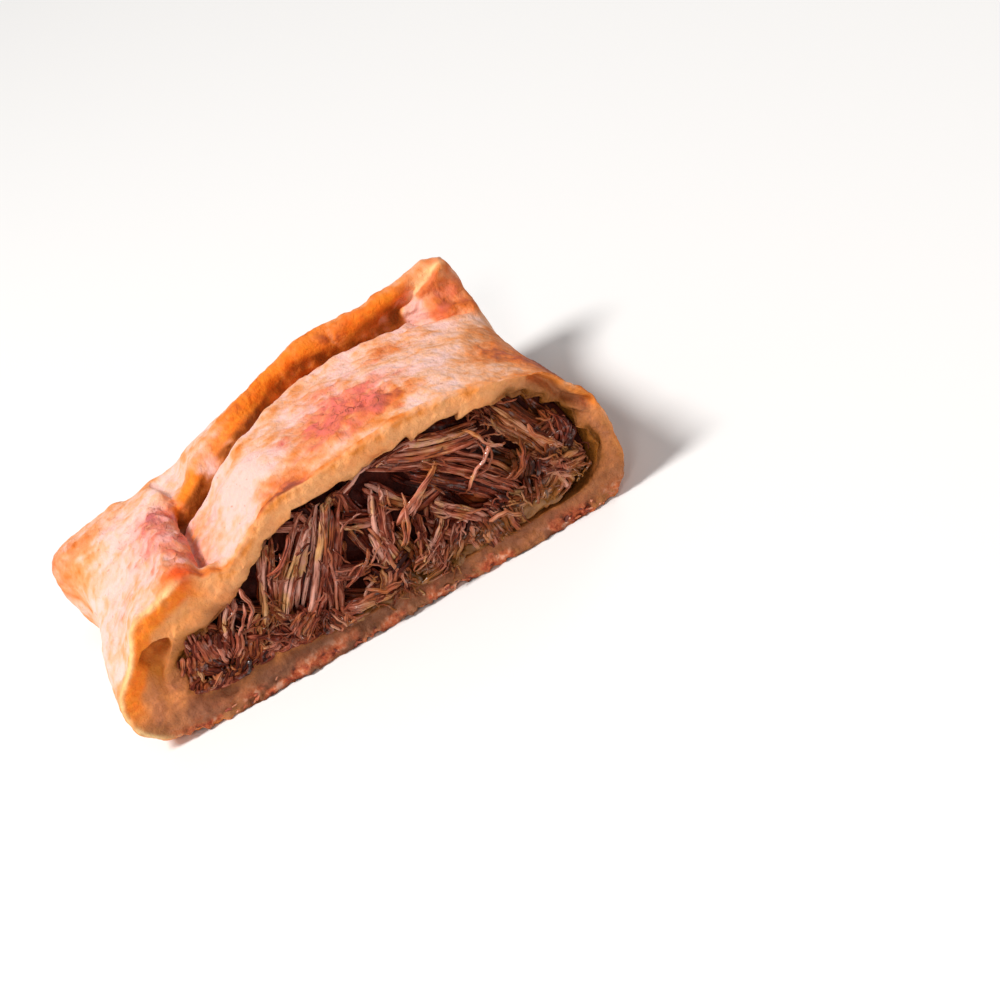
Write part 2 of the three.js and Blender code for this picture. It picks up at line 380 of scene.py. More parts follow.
# Browned and blistered places: x, back, z, radius, browning, blush, blistering
crustSpots = {
    "crownRed": (12.6, 23, 32.7, 9.0, 0.40, 1.35, 1.0),
    "crownFront": (8.4, 13.4, 33.8, 6.5, 0.24, 0.85, 0.8),
    "crownOrange": (18.9, 12.9, 34.3, 5.0, 0.66, 0.15, 0.8),
    "crownPale": (20, 34, 31, 8.0, -0.12, 0.0, 0.0),
    "crownLeftPale": (-12, 20, 31, 9.0, -0.10, 0.05, 0.1),
    "crownBack": (9.8, 39, 29.8, 6.5, 0.20, 0.40, 0.3),
    "crownEnd": (27.8, 46, 27.9, 5.5, 0.30, 0.20, 0.3),
    "crownGroove": (23, 42.6, 29.2, 4.0, 0.26, 0.30, 0.3),
    "rightTop": (42.6, 21.4, 27.3, 8.0, 0.36, 0.16, 0.3),
    "rightFront": (47.6, 12, 24.5, 7.0, 0.42, 0.12, 0.4),
    "shoulder": (-6, 5.3, 34, 6.0, 0.12, 0.35, 0.3),
    "shoulderEdge": (-5, 0.5, 32.5, 5.0, 0.45, 0.0, 0.2),
    "lipRed": (-28.5, 35.5, 25.5, 6.0, 0.30, 1.05, 1.0),
    "lipMiddle": (-27.3, 22, 27.0, 6.0, 0.20, 0.75, 1.0),
    "lipFront": (-27.3, 11, 28.0, 5.0, 0.24, 0.60, 0.9),
    "lipOrange": (-28.8, 2.6, 29.9, 4.0, 0.30, 0.25, 0.6),
    "flapPale": (-37, 28, 23, 13.0, -0.18, 0.04, 0.2),
    "flapTop": (-36, 44, 23, 8.0, -0.14, 0.03, 0.2),
    "flapLow": (-44, 14, 17, 7.0, -0.10, 0.10, 0.2),
    "flapEnd": (-39.5, 56.5, 19.7, 7.0, 0.12, 0.12, 0.3),
    "flapMiddle": (-39.2, 17.6, 22.2, 6.0, 0.16, 0.22, 0.3),
    "flapCorner": (-51, 60, 15, 7.0, 0.14, 0.34, 0.3),
    "stripLeft": (-5.2, 54, 26.6, 5.0, 0.30, 0.05, 0.3),
    "stripMiddle": (5.1, 59.2, 26.6, 6.5, 0.30, 0.05, 0.4),
    "stripRight": (17.1, 60.8, 27.2, 7.0, 0.30, 0.05, 0.4),
    "stripEnd": (28.8, 61.4, 27.7, 7.0, 0.30, 0.05, 0.4),
    "peakFacet": (42.5, 58, 27.2, 6.0, 0.42, 0.45, 0.2),
    "peakFoot": (41, 54.5, 24.6, 4.5, 0.30, 0.10, 0.1),
    "peakTip": (45, 66, 31, 4.5, 0.0, 0.25, 0.2),
    # paler spot on the ridge: painted highlight
    "peakRidge": (38, 60.6, 27.6, 2.4, -0.26, 0.0, 0.0),
}
browningColumn, blushColumn, blisterColumn = 4, 5, 6

# Folds: a line as x, back, z, which way the skin is pressed there, how wide and how far,
# and the roll beside it: which side it is on, how far off, how wide and how high
crustFolds = {
    "endFold": {
        "line": [(-23, 38, 22.0), (-20, 38.8, 22.4), (-15, 42.2, 24.8), (-10.4, 42.8, 27.0),
                 (-6.5, 45.5, 27.3), (-3, 49.5, 27.0), (1, 54.5, 26.4), (5, 58.6, 25.4), (10, 60, 25.0),
                 (20, 60.2, 24.8), (30, 60.3, 24.3), (32, 60.5, 24.5)],
        "into": (0, 0.35, -0.95), "width": 1.5, "depth": 4.0, "crease": 1.0,
        "side": (0.2, -1, 0.4), "away": 4.2, "rollWidth": 2.6, "roll": 0.4,
    },
    "endRoll": {
        "line": [(-21, 45, 25), (-14, 50, 26.4), (-7, 55, 27.4), (0, 59.5, 28.3)],
        "into": (0, -0.3, 1), "width": 3.0, "depth": 1.0,
    },
    "sideFold": {
        "line": [(-25, 6, 24.2), (-24.3, 13, 23.7), (-25, 24, 22.5), (-24.7, 33, 21.4), (-23.5, 38.5, 22.6)],
        "into": (-0.55, 0, -0.85), "width": 1.2, "depth": 3.2, "crease": 0.9,
    },
    "sideFoldBack": {
        "line": [(-23.3, 40, 23.2), (-23.2, 45, 24.6), (-23.6, 50, 25.0), (-24.4, 55, 24.2),
                 (-25.2, 61, 22.2)],
        "into": (-0.4, 0, -0.9), "width": 1.4, "depth": 2.0, "crease": 0.25,
    },
    "underFlap": {
        "line": [(-20.6, 41, 24.2), (-20.4, 46, 25.4), (-20.8, 51, 25.8), (-21.4, 56, 25.0),
                 (-22.2, 61, 23.0)],
        "into": (0, 0, -1), "width": 2.2, "depth": 1.0,
    },
    "lipCrest": {
        "line": [(-31.8, 4, 28.6), (-31.2, 13, 27.8), (-30.8, 27, 25.8), (-29.2, 38, 24.9),
                 (-27.2, 46, 24.6)],
        "into": (0.15, 0, 1), "width": 3.0, "depth": 1.1,
    },
    "lipEnd": {
        "line": [(-24.2, -4, 24.2), (-24.4, 4, 23.8)],
        "into": (0.2, 0, 1), "width": 2.6, "depth": 3.0,
    },
    "cornerCrease": {
        "line": [(32, 61, 24.8), (34.3, 59.2, 24.9), (36.7, 56.2, 25.2), (39.4, 53.4, 25.3),
                 (42.3, 53, 24.2)],
        "into": (0, 0.3, -1), "width": 0.9, "depth": 2.0, "crease": 0.8,
        "side": (0.2, 1, 0.5), "away": 2.0, "rollWidth": 1.3, "roll": 1.0,
    },
    "cornerRidge": {
        "line": [(34, 61.6, 26), (36.4, 61.4, 27), (39.2, 60.4, 28.8), (41.9, 61.2, 30)],
        "into": (-0.3, -0.7, 0.6), "width": 1.2, "depth": 2.0,
        "side": (1, -0.4, 0), "away": 4.5, "rollWidth": 2.6, "roll": -1.2,
    },
    "cornerTip": {
        "line": [(43, 64, 30), (45, 66.5, 31)],
        "into": (0.85, 0, 0.5), "width": 6.0, "depth": 3.2,
    },
}

# Places that stand out further or fall back: x, back, z of the middle, half sizes, which way and how far
crustSwells = {
    "flapShoulder": ((-38.5, 0, 23.8), (6, 13, 5), (-0.62, 0, 0.78), 3.3),
    "leftEnd": ((-47.5, 4, 11), (6, 20, 8), (-1, 0, 0), 1.9),
    "flapCorner": ((-48.5, 59, 16), (8, 11, 6), (-0.3, 0.2, 0.93), 2.6),
    "flapWaist": ((-50.5, 46.5, 10.5), (6, 12, 8), (0.95, 0, -0.3), 2.8),
    "flapEnd": ((-21.5, 50, 25.5), (4, 8, 4), (0, 0, -1), 1.7),
    "stripCrest": ((16, 63, 29), (14, 6, 5), (0, 0.3, 0.95), 1.6),
    "peakFlank": ((45, 55, 23.5), (5, 9, 6), (1, 0, 0.1), 2.2),
    "peakLeft": ((38.5, 63, 30.5), (5, 6, 4), (0, 0, -1), 1.2),
    "stripStart": ((-22.5, 58.5, 22), (6, 7, 5), (0, 0, -1), 1.8),
    "rightShoulder": ((49.5, 0, 25.5), (4, 10, 4), (-0.7, 0, -0.7), 1.1),
}

# Where the foot of the end fold's crevice shows from the front, painted dark as shade: x, back, z
creviceFoot = [
    (-23.2, 37, 22.3), (-17.6, 41.4, 23.5), (-13.9, 41.8, 25.6), (-10.4, 40.6, 27.8), (-6.9, 42.1, 28.8),
    (-3.9, 44.3, 28.6), (-0.2, 51, 27.3), (3.4, 58, 25.7), (6.7, 59.7, 25.9), (10.1, 60.5, 26.9),
    (15.3, 60.8, 26.3), (20.5, 61.3, 25.6), (26.5, 61.5, 26.6), (32.3, 64.2, 26.0),
]
frontEye = (-11.0, -445.8, 249.7)  # the foot's line was taken from here

# The ridge that runs up to the raised corner, with a painted highlight along it, and the crumpled lip of the
# flap: x, back, z
peakRidge = [
    (33.6, 60.2, 26.8), (34.8, 61.5, 27.2), (36.0, 63.0, 27.4), (37.2, 62.4, 28.9), (39.6, 62.2, 30.2),
    (41.8, 62.1, 31.0), (43.6, 61.4, 31.9),
]
lipLine = [(-28.8, 36, 25.5), (-27.5, 22, 27.0), (-27.4, 8, 28.2)]
lipRounding = {"middle": (-28, 18, 26), "half": (6, 24, 6), "passes": 10}  # extra smoothing

# The hollow in the thick dough at the left of the cut: its edge as x and z, its depth,
# and how wide its slope is at the crisp upper edge and how much wider lower down
doughHollow = {
    "edge": [(-43.6, 15.5), (-42.8, 19.2), (-41.0, 21.0), (-38.2, 21.5), (-35.4, 20.7), (-35.9, 18.6),
             (-37.4, 15.2), (-38.5, 12.0), (-39.4, 9.4), (-41.4, 9.2), (-43.2, 11.6)],
    "depth": 2.1, "slope": 0.7, "fade": 3.0,
}

# Ridges and grooves on the cut: how wide and how far it stands out, and its line as x and z
cutMarks = {
    "flapEdge": (1.7, 0.5, [(-28.9, 29.6), (-32.6, 27.6), (-36.5, 25.9), (-40.3, 23.4), (-43.5, 20.2),
                            (-45.8, 16.2)]),
    "pocketRidge": (2.0, 0.2, [(-34.5, 20.2), (-36.7, 17.2), (-38.4, 13.0), (-38.8, 10.5)]),
    "tongue": (1.4, 0.5, [(-23.5, 23.2), (-26.4, 21.8), (-30.1, 20.6), (-33.1, 20.6)]),
    "wrinkle": (0.9, -2.2, [(43.4, 29.6), (45.6, 26.9), (46.6, 23.8), (48.0, 21.6), (50.4, 20.0)]),
    "ledge": (1.0, 1.2, [(40.6, 28.8), (43.8, 26.0), (44.8, 22.8), (46.4, 20.6), (49.0, 19.4)]),
}

# The pocket at the cut: its edge, its floor and its middle as x and z
pocketEdge = [
    (-38.7, 8.2), (-38.4, 14.2), (-36.4, 17.8), (-33.2, 20.6), (-26.8, 19.8), (-22.1, 22.2), (-15.9, 24.8),
    (-10.8, 28.0), (-6.6, 29.3), (-1.0, 28.2), (5.0, 27.8), (7.7, 29.6), (15.7, 30.5), (22.6, 30.6),
    (34.3, 30.7), (36.4, 28.5), (41.4, 27.2), (42.7, 23.3), (44.6, 20.4), (47.6, 18.4), (48.2, 15.7),
    (47.6, 11.7), (46.1, 8.6), (43.1, 7.0), (38.9, 5.6), (34.2, 4.9), (25.1, 3.6), (17.0, 2.6), (8.0, 2.2),
    (-4.0, 2.4), (-11.6, 5.0), (-17.3, 6.2), (-24.3, 6.0), (-31.2, 6.0),
]
pocketFloor = [
    (-38, 8.6), (-32, 7.0), (-24, 7.2), (-17, 7.2), (-12, 5.6), (-5, 4.2), (5, 3.0), (20, 3.2), (46, 3.4),
]
pocketMiddle = (4.0, 16.0)

# Single marks of colour: x, back, z
crustAccents = {"plum": (-29.6, 35.2, 25.8), "amber": (-29.2, 0.8, 28.4), "ember": (-28.4, 0.8, 30.0)}

# How much each cause browns the skin
browning = {
    "all": 0.15,
    "patches": 0.24,
    "mottle": 0.14,
    "crests": 0.9,
    "cutEdge": 0.28,
    "besideFold": -0.30,
    "endWall": (0.10, 0.2),  # evenly, and in patches
    "base": 0.30,
    "rightSide": 0.20,
    "strip": 0.12,
    # the lip: evenly paler as painted light on its shaded side, and paler in patches
    "lip": (-0.14, -0.5),
}


def crustBase():
    bm = nodeBmesh("crust")
    front = [f for f in bm.faces if f.normal.y < -0.99]
    front = [f for f in front if abs(f.calc_center_median().y / mm - cutY) < 0.01]
    made = bmesh.ops.extrude_face_region(bm, geom=front)["geom"]
    moved = [v for v in made if isinstance(v, bmesh.types.BMVert)]
    bmesh.ops.translate(bm, vec=(0, -crustForm["extend"] * mm, 0), verts=moved)
    piece = pieceFrom("crustSkin", bm)
    voxelRemesh(piece, crustForm["roughVoxel"])
    points = spread(pointsOf(piece.data), piece.data, crustForm["roughSmooth"])
    far = np.max(np.abs(points - lipRounding["middle"]) / lipRounding["half"], axis=1)
    rounded = spread(points, piece.data, lipRounding["passes"])
    points = points + ramp(-far, -1.1, -0.8)[:, None] * (rounded - points)
    points = foldCrust(points)
    points[:, 1:] = np.maximum(points[:, 1:], 0)
    setPoints(piece.data, points)
    voxelRemesh(piece, crustForm["voxel"])
    thinHidden(piece)
    refine(piece)
    points = spread(pointsOf(piece.data), piece.data, crustForm["smooth"])
    outside = ramp(fillingDistance(points), 2.5, 4.5) * ramp(points[:, 1], 1, 3) * ramp(points[:, 2], 1, 3)
    points += crustForm["crisp"] * outside[:, None] * (points - spread(points, piece.data, 30))
    setPoints(piece.data, spread(creaseCrust(points), piece.data, 1))
    return piece


def foldCrust(points):  # presses the crevices of the folds in and raises the rolls beside them
    skin = ramp(fillingDistance(points), 1.5, 3.0)
    moved = points.copy()
    for middle, half, way, out in crustSwells.values():
        far = np.linalg.norm((points - middle) / half, axis=1)
        moved += out * (hump(far, 1.0) * skin)[:, None] * np.array(way)
    corner = ramp(-points[:, 0], 36, 47) * hump(points[:, 1], 22) * ramp(-points[:, 2], -7, 0)
    moved[:, 2] += crustForm["cornerLift"] * corner
    for fold in crustFolds.values():
        distance, nearest = lineDistance(points, fold["line"])
        press = fold["depth"] * hump(distance, fold["width"]) * skin
        moved += press[:, None] * unit(fold["into"])
        if "roll" in fold:
            side = ramp((points - nearest) @ unit(fold["side"]), 0, 2)
            moved[:, 2] += fold["roll"] * hump(distance - fold["away"], fold["rollWidth"]) * side * skin
    return moved


def creaseCrust(points):  # draws a sharp line along the bottom of the folds
    moved = points.copy()
    for fold in crustFolds.values():
        if "crease" in fold:
            into = unit(fold["into"])
            bottom = np.array(fold["line"]) + 0.75 * fold["depth"] * into
            moved += fold["crease"] * hump(lineDistance(points, bottom)[0], 0.8)[:, None] * into
    return moved


def fillingDistance(points):
    return np.fromiter((fillingTree.find_nearest(p)[3] for p in points.tolist()), float, len(points))


def thinHidden(piece):  # nobody sees the deep pocket, and the base is flat, so they take few faces
    points = pointsOf(piece.data)
    deep = (fillingDistance(points) < crustForm["wallReach"]) & (points[:, 1] > crustForm["deepPocket"])
    base = (points[:, 2] < 0.4) & (points[:, 1] > 3)
    hidden = deep | base
    group = piece.vertex_groups.new(name="hidden")
    group.add(np.flatnonzero(hidden).tolist(), 1.0, "REPLACE")
    thin = piece.modifiers.new("thin", "DECIMATE")
    thin.vertex_group = "hidden"
    thin.ratio = 1 - crustForm["thinned"] * hidden.mean()
    applyModifiers(piece)
    piece.vertex_groups.clear()


def refine(piece):  # halves the edges near the cut, the folds and the blistered crown
    points = pointsOf(piece.data)
    fine = points[:, 1] < crustForm["fineFront"]
    for fold in crustFolds.values():
        fine |= (lineDistance(points, fold["line"])[0] < crustForm["fineFold"]) & (points[:, 2] > 8)
    for name in ("crownRed", "lipRed"):
        fine |= distanceTo(points, crustSpots[name][:3]) < crustSpots[name][3]
    bm = bmesh.new()
    bm.from_mesh(piece.data)
    edges = [e for e in bm.edges if fine[e.verts[0].index] and fine[e.verts[1].index]]
    bmesh.ops.subdivide_edges(bm, edges=edges, cuts=1, use_grid_fill=True)
    bm.to_mesh(piece.data)
    bm.free()


def cutLine(points, line):  # how far a line of x and z is, seen on the cut face
    return lineDistance(points * np.array([1, 0, 1]), [(x, 0, z) for x, z in line])[0]


def spotField(points, column, waver):  # how much of one property the spots give each point
    total = np.zeros(len(points))
    for spot in crustSpots.values():
        total += spot[column] * hump(distanceTo(points, spot[:3]) * (1 + 0.4 * waver), spot[3])
    return total


def skinDistance(points, skin, cut):  # over the cut face, how far the outer skin is
    outer = np.flatnonzero((skin > 0.8) & (points[:, 1] < 3))
    tree = kdtree.KDTree(len(outer))
    for k, index in enumerate(outer):
        tree.insert(points[index], k)
    tree.balance()
    distance = np.zeros(len(points))
    for index in np.flatnonzero(cut > 0.02):
        distance[index] = tree.find(points[index])[2]
    return distance


def tornTeeth(points):  # uneven, pointed teeth, mostly small
    rng = np.random.default_rng(crustForm["toothSeed"])
    count = crustForm["toothCount"]
    knots = np.cumsum(rng.uniform(*crustForm["teeth"], count)) + crustForm["toothStart"]
    heights = np.where(np.arange(count) % 2, 1, -0.5) * rng.uniform(0.1, 1, count) ** 2.2
    along = points[:, 0] - points[:, 2] + 0.5 * noiseOf(points, 6.0, 2, 7.7)
    return np.interp(along, knots, heights) + 0.7 * noiseOf(points, 5.0, 3, 2.7)


def skinRelief(points, waver, blistering):  # swells, lumps and wrinkled blisters of the outer skin
    back, z = points[:, 1], points[:, 2]
    drawn = points * np.array(crustForm["stretch"])
    rise = crustForm["swell"] * noiseOf(points, 17, 2, 9.2) + crustForm["lumps"] * noiseOf(drawn, 5.0, 3, 1.7)
    rise += crustForm["blisters"] * blistering * (ridgesOf(drawn, 3.0, 5.1) - 0.35)
    rise += 1.5 * crustForm["pores"] * (ridgesOf(drawn, 1.5, 2.2) - 0.4) * (0.15 + blistering)
    rise += crustForm["crags"] * hump(z, 3.0) * hump(back, 5.0) * (ridgesOf(points, 2.6, 8.8) - 0.3)
    rise += crustForm["bead"] * hump(back - 0.6, 0.9) * ramp(z, 4, 8) * (1 + waver)
    return rise


def cutRelief(points, toBeef, waver, inHollow, recess):  # crumb, pores and marks, as a way back
    x, _, z = points.T
    crumb = crustForm["crumb"] * noiseOf(points, 3.0, 3, 4.4)
    crumb += crustForm["pores"] * noiseOf(points, 1.1, 2, 6.1)
    flaking = hump(z, 2.6) * (0.7 * ridgesOf(points, 2.0, 0.4) + noiseOf(points, 4.5, 2, 8.1))
    crumb -= crustForm["crags"] * flaking
    crumb += doughHollow["depth"] * inHollow
    dip = crustForm["dish"] * (1 + 1.4 * ramp(-x, 24, 32))
    crumb += dip * hump(toBeef, 2.2) * (1 + waver)
    crumb += recess
    for width, out, line in cutMarks.values():
        crumb -= out * hump(cutLine(points, line), width) * (1 + 0.6 * waver)
    return crumb


def sculptCrust(piece):
    mesh = piece.data
    points = pointsOf(mesh)
    normals = normalsOf(mesh)
    x, back, z = points.T
    face = points[:, [0, 2]]
    toBeef = fillingDistance(points)
    cut = spread(ramp(-normals[:, 1], 0.55, 0.85) * (back < 0.8), mesh, 2)
    wall = spread((toBeef < crustForm["wallReach"]) * (1 - cut), mesh, 2)
    skin = limited(1 - cut - wall)
    waver = noiseOf(points * np.array(crustForm["stretch"]), 4.0, 3, 3.3)
    blistering = np.clip(spotField(points, blisterColumn, waver), 0, 1.9)
    moved = points + normals * (skinRelief(points, waver, blistering) * skin)[:, None]

    # the cut face, with the hollow at the left and the step back at the right
    inside, rimPoint = edgeDistance(face, doughHollow["edge"])
    slope = doughHollow["slope"] + doughHollow["fade"] * ramp(-rimPoint[:, 1], -19.5, -16.5)
    inHollow = ramp(inside + 0.25 * waver, 0, slope) * ramp(z, 8, 15)
    recess = crustForm["recess"] * ramp(x, 34, 40) * ramp(z, 15, 20) * hump(toBeef, 3.4)
    moved[:, 1] += wall * recess * limited(1 - back / 9)
    moved[:, 1] += cut * cutRelief(points, toBeef, waver, inHollow, recess)

    # notches in the lower edge
    notch = limited(noiseOf(points * np.array([1, 0.4, 0.4]), 2.6, 3, 5.7) + 0.1)
    moved[:, 2] += crustForm["notches"] * (notch * hump(z, 1.6) * hump(back, 3.0))

    # ragged inner edge, and soaked folds where the dough hangs over the beef at the right
    toEdge = np.minimum(np.abs(edgeDistance(face, pocketEdge)[0]), np.maximum(toBeef - 0.3, 0))
    edge = hump(toEdge, 1.3) * plateau(back, 1.0, 1.6) * limited(cut + wall)
    edge *= 0.25 + 0.75 * ramp(z, 8, 12)
    towards = np.array(pocketMiddle) - face
    towards /= np.maximum(np.linalg.norm(towards, axis=1, keepdims=True), 1e-6)
    moved[:, [0, 2]] += towards * (edge * (crustForm["ragged"] * tornTeeth(points)))[:, None]
    right = ramp(x, 30, 40) * ramp(z, 15, 20) * wall * plateau(back, 2, 4.0)
    folds = crustForm["folds"] * (ridgesOf(points * np.array([1, 0.35, 1]), 3.2, 1.1) - 0.1)
    moved += normals * np.array([1.0, 0.0, 1.0]) * (right * folds)[:, None]

    # the dough is thicker under the beef at the left
    level = np.interp(x, *np.array(pocketFloor).T) - 0.12 * np.maximum(back, 0)
    under = wall * ramp(normals[:, 2], 0.1, 0.5) * (z < 12)
    moved[:, 2] += under * np.maximum(level - moved[:, 2], 0)

    moved[:, 2] = np.maximum(moved[:, 2], 0)
    setPoints(mesh, moved)
    return {
        "toBeef": toBeef, "cut": cut, "wall": wall, "waver": waver, "blisters": blistering,
        "toSkin": skinDistance(points, skin, cut), "hollow": inHollow * cut,
    }


def footDistance(points):  # how far a point shows above the foot of the crevice, 0 down in it
    rays = points - np.array(frontEye)
    far = np.linalg.norm(rays, axis=1)
    rays = rays / far[:, None]
    lines = np.array(creviceFoot) - np.array(frontEye)
    lines = lines / np.linalg.norm(lines, axis=1, keepdims=True)
    distance, nearest = lineDistance(rays, lines)
    return distance * far * ((rays - nearest)[:, 2] > 0)


def skinPaint(mesh, points, fields):  # browning, blush and the colours of the folds
    cut, waver = fields["cut"], fields["waver"]
    normals = normalsOf(mesh)
    x, back, z = points.T

    # browning: spots, patches, raised places and the skin's edge at the cut
    crest = np.einsum("ij,ij->i", points - spread(points, mesh, 10), normals)
    edgePatches = limited(0.4 + 2.2 * noiseOf(points, 8, 2, 6.6))
    toast = browning["all"] + browning["patches"] * noiseOf(points, 12, 3, 2.6) + browning["mottle"] * waver
    toast += spotField(points, browningColumn, waver)
    toast += browning["crests"] * np.clip(crest, -0.15, 0.25)
    toast += browning["cutEdge"] * hump(back - 1.6, 1.6) * ramp(z, 6, 12) * edgePatches
    toast += browning["base"] * hump(z, 5.0)
    toast += browning["rightSide"] * ramp(x, 32, 48) * ramp(-back, -52, -40)

    # the end fold: the foot of its crevice for painted shade, amber wall and the amber strip behind it
    toFold, nearest = lineDistance(points, crustFolds["endFold"]["line"])
    behindFold = ramp((points - nearest) @ np.array([-0.25, 0.9, 0.2]), -0.3, 1.2)
    facing = ramp(-normals[:, 1] + 0.4 * normals[:, 2], -0.1, 0.4)
    endWall = behindFold * plateau(toFold, 2.2, 2.2) * facing
    strip = behindFold * plateau(toFold, 2, 6.0) * ramp(z, 17, 20) * ramp(x, -20, -6) * ramp(-x, -41, -36)
    aboveFoot = footDistance(points)
    inCrevice = behindFold * ramp(-toFold, -9, -8)
    creviceWall = inCrevice * plateau(aboveFoot, 3.0, 1.5)
    toast += browning["besideFold"] * hump(toFold - 3.0, 2.4) * (1 - behindFold)
    toast += (browning["endWall"][0] + browning["endWall"][1] * waver) * endWall
    toast += browning["strip"] * np.maximum(strip, creviceWall)
    amber = np.maximum.reduce([
        endWall * limited(0.9 + 1.1 * waver),
        strip * limited(0.75 + 1.8 * waver) * (1 - cut),
        creviceWall * limited(1.0 + 1.1 * waver),
        0.95 * hump(distanceTo(points, crustAccents["amber"]), 2.2),
    ])

    # creases: painted shade in the narrow bottoms of all folds, partly the seams' darker dough
    hollowness = np.einsum("ij,ij->i", spread(points, mesh, 12) - points, normals)
    inFold = np.zeros(len(points))
    for fold in crustFolds.values():
        if "crease" in fold:
            inFold = np.maximum(inFold, plateau(lineDistance(points, fold["line"])[0], 3.0, 1.0))
    crease = spread(ramp(hollowness, 0.10, 0.28) * inFold * ramp(back, 2, 5), mesh, 2)
    crease *= 1 - 0.75 * ramp(-x, 21, 24) * ramp(back, 42, 46)
    # painted shade at the foot of the end fold's crevice, where it shows from the front
    crease = np.maximum(crease, inCrevice * plateau(aboveFoot, 0.9, 0.9) * limited(0.85 + waver))
    crease *= 1 - limited(cut)

    # blush and plum, with the mottled lip of the flap
    onLip = hump(lineDistance(points, lipLine)[0], 5.0)
    mottled = noiseOf(points * np.array(crustForm["stretch"]), 3.0, 3, 8.4)
    # painted light: the lip is made paler where it lies in shade
    toast += onLip * (browning["lip"][0] + browning["lip"][1] * limited(-2.2 * mottled - 0.1))
    blush = spotField(points, blushColumn, waver) * (1 + 0.9 * noiseOf(points, 2.4, 2, 5.0))
    blush += 0.28 * onLip * limited(0.9 + 1.6 * noiseOf(points, 3.4, 2, 7.7))
    plum = 0.8 * hump(distanceTo(points, crustAccents["plum"]) * (1 + 0.5 * waver), 2.8)
    plum *= limited(0.7 + 2 * noiseOf(points, 2.0, 2, 4.1))
    plum = np.maximum(plum, onLip * np.clip(2.2 * mottled - 0.3, 0, 0.22))
    # painted highlight along the ridge up to the raised corner
    paintedHighlight = 0.8 * hump(lineDistance(points, peakRidge)[0], 1.0) * (1 - cut) * limited(0.9 + waver)
    return {
        "toast": toast, "blush": blush, "plum": plum, "crease": crease, "amber": amber, "paintedHighlight": paintedHighlight,
        "blisters": np.maximum(0.55 * fields["blisters"], 0.6 * onLip),
    }


def doughPaint(points, fields):  # the layers of the cut, soaked, dim and flaky places
    toBeef, toSkin, hollow = fields["toBeef"], fields["toSkin"], fields["hollow"]
    cut, wall, waver = fields["cut"], fields["wall"], fields["waver"]
    x, back, z = points.T
    leftEnd = ramp(-x, 24, 30)

    # just under the skin
    across = toSkin / np.maximum(toSkin + toBeef, 0.1) + 0.22 * waver + wall
    rim = cut * hump(toSkin - 0.5, 0.9) * ramp(z, 12, 18) * (1 - leftEnd) * limited(0.5 + 2.2 * waver)
    # painted highlight on the skin's rolled rim at the left end of the cut
    paintedHighlight = cut * leftEnd * plateau(toSkin, 0.3, 0.55) * limited(0.9 + waver) * ramp(z, 1, 5)
    band = cut * leftEnd * plateau(np.abs(toSkin - 2.3), 1.0, 0.8) * ramp(z, 6, 13)
    amber = band * limited(1.1 + 0.8 * waver) * (1 - 0.8 * hollow)

    # soaked near the beef
    soakPlaces = 0.15 + 0.2 * ramp(-z, -9, -4) * ramp(x, -22, -6) + 0.8 * leftEnd * ramp(z, 9, 13)
    soakPlaces = limited(soakPlaces + ramp(x, 32, 42) * ramp(z, 5, 11))
    soak = soakPlaces * plateau(toBeef, 0.4, 2.3) * limited(cut + wall) * (1 + 0.6 * waver)
    soak = np.maximum(soak, 0.6 * wall)

    # cream above, partly a painted highlight, golden in the hollow with painted shade at its top, and painted
    # shade below
    # paler towards the cut's top edge, partly a painted highlight there
    cream = ramp(z, 18, 26) * (0.95 + 0.5 * waver) * (1 - 0.6 * ramp(x, 34, 44)) * (1 - ramp(-x, 26, 32))
    tongue = leftEnd * ramp(z, 17, 21) * plateau(-toSkin, -3.6, 1.2) * (1 - hollow)
    # painted highlight along the pocket's ridge edge
    ridge = hump(cutLine(points, cutMarks["pocketRidge"][2]), 2.0) * limited(0.8 + waver)
    cream = np.maximum(cream, np.maximum(0.75 * tongue, 0.3 * ridge))
    golden = hollow + 0.25 * leftEnd * ramp(z, 5, 11) * (1 + waver)
    golden = cut * limited(golden + 0.3 * ramp(x, 40, 46) * ramp(-z, -15, -9))
    # painted shade: darker towards the bottom of the cut and at its right end
    dim = cut * ramp(-z, -9, -5) * (1 - 0.35 * leftEnd) * (1 - 0.35 * ramp(x, 0, 25))
    dim = np.maximum(dim, 0.30 * cut * ramp(x, 36, 46))

    # the lower edge, and a bright spot where the flap's lip meets the cut
    patches = noiseOf(points * np.array([0.6, 1, 1.2]), 4.2, 3, 1.3)
    flaky = plateau(z, 1.0, 2.0) * hump(back, 4.0) * limited(0.5 + 3.0 * patches)
    burnt = hump(z - 0.2, 0.55) * hump(back, 2.5) * limited(0.8 + 2.0 * waver) * ramp(x, -44, -36)
    toEmber = np.linalg.norm((points - np.array(crustAccents["ember"])) / (1, 1.6, 1), axis=1)
    return {
        "cut": cut + wall, "across": across, "rim": rim, "paintedHighlight": paintedHighlight, "amber": amber, "soak": soak,
        "cream": cream, "golden": golden, "dim": dim, "flaky": flaky, "burnt": burnt,
        # painted shade at the top of the hollow, under the overhanging dough
        "deep": hollow * ramp(z, 13, 19) * limited(0.9 + waver),
        "ember": hump(toEmber * (1 + 0.5 * waver), 2.4),
    }


def paintCrust(piece, fields):
    mesh = piece.data
    points = pointsOf(mesh)
    paint = skinPaint(mesh, points, fields)
    for name, values in doughPaint(points, fields).items():
        paint[name] = np.maximum(paint[name], values) if name in paint else values
    for name, values in paint.items():
        paintAttribute(mesh, name, values)


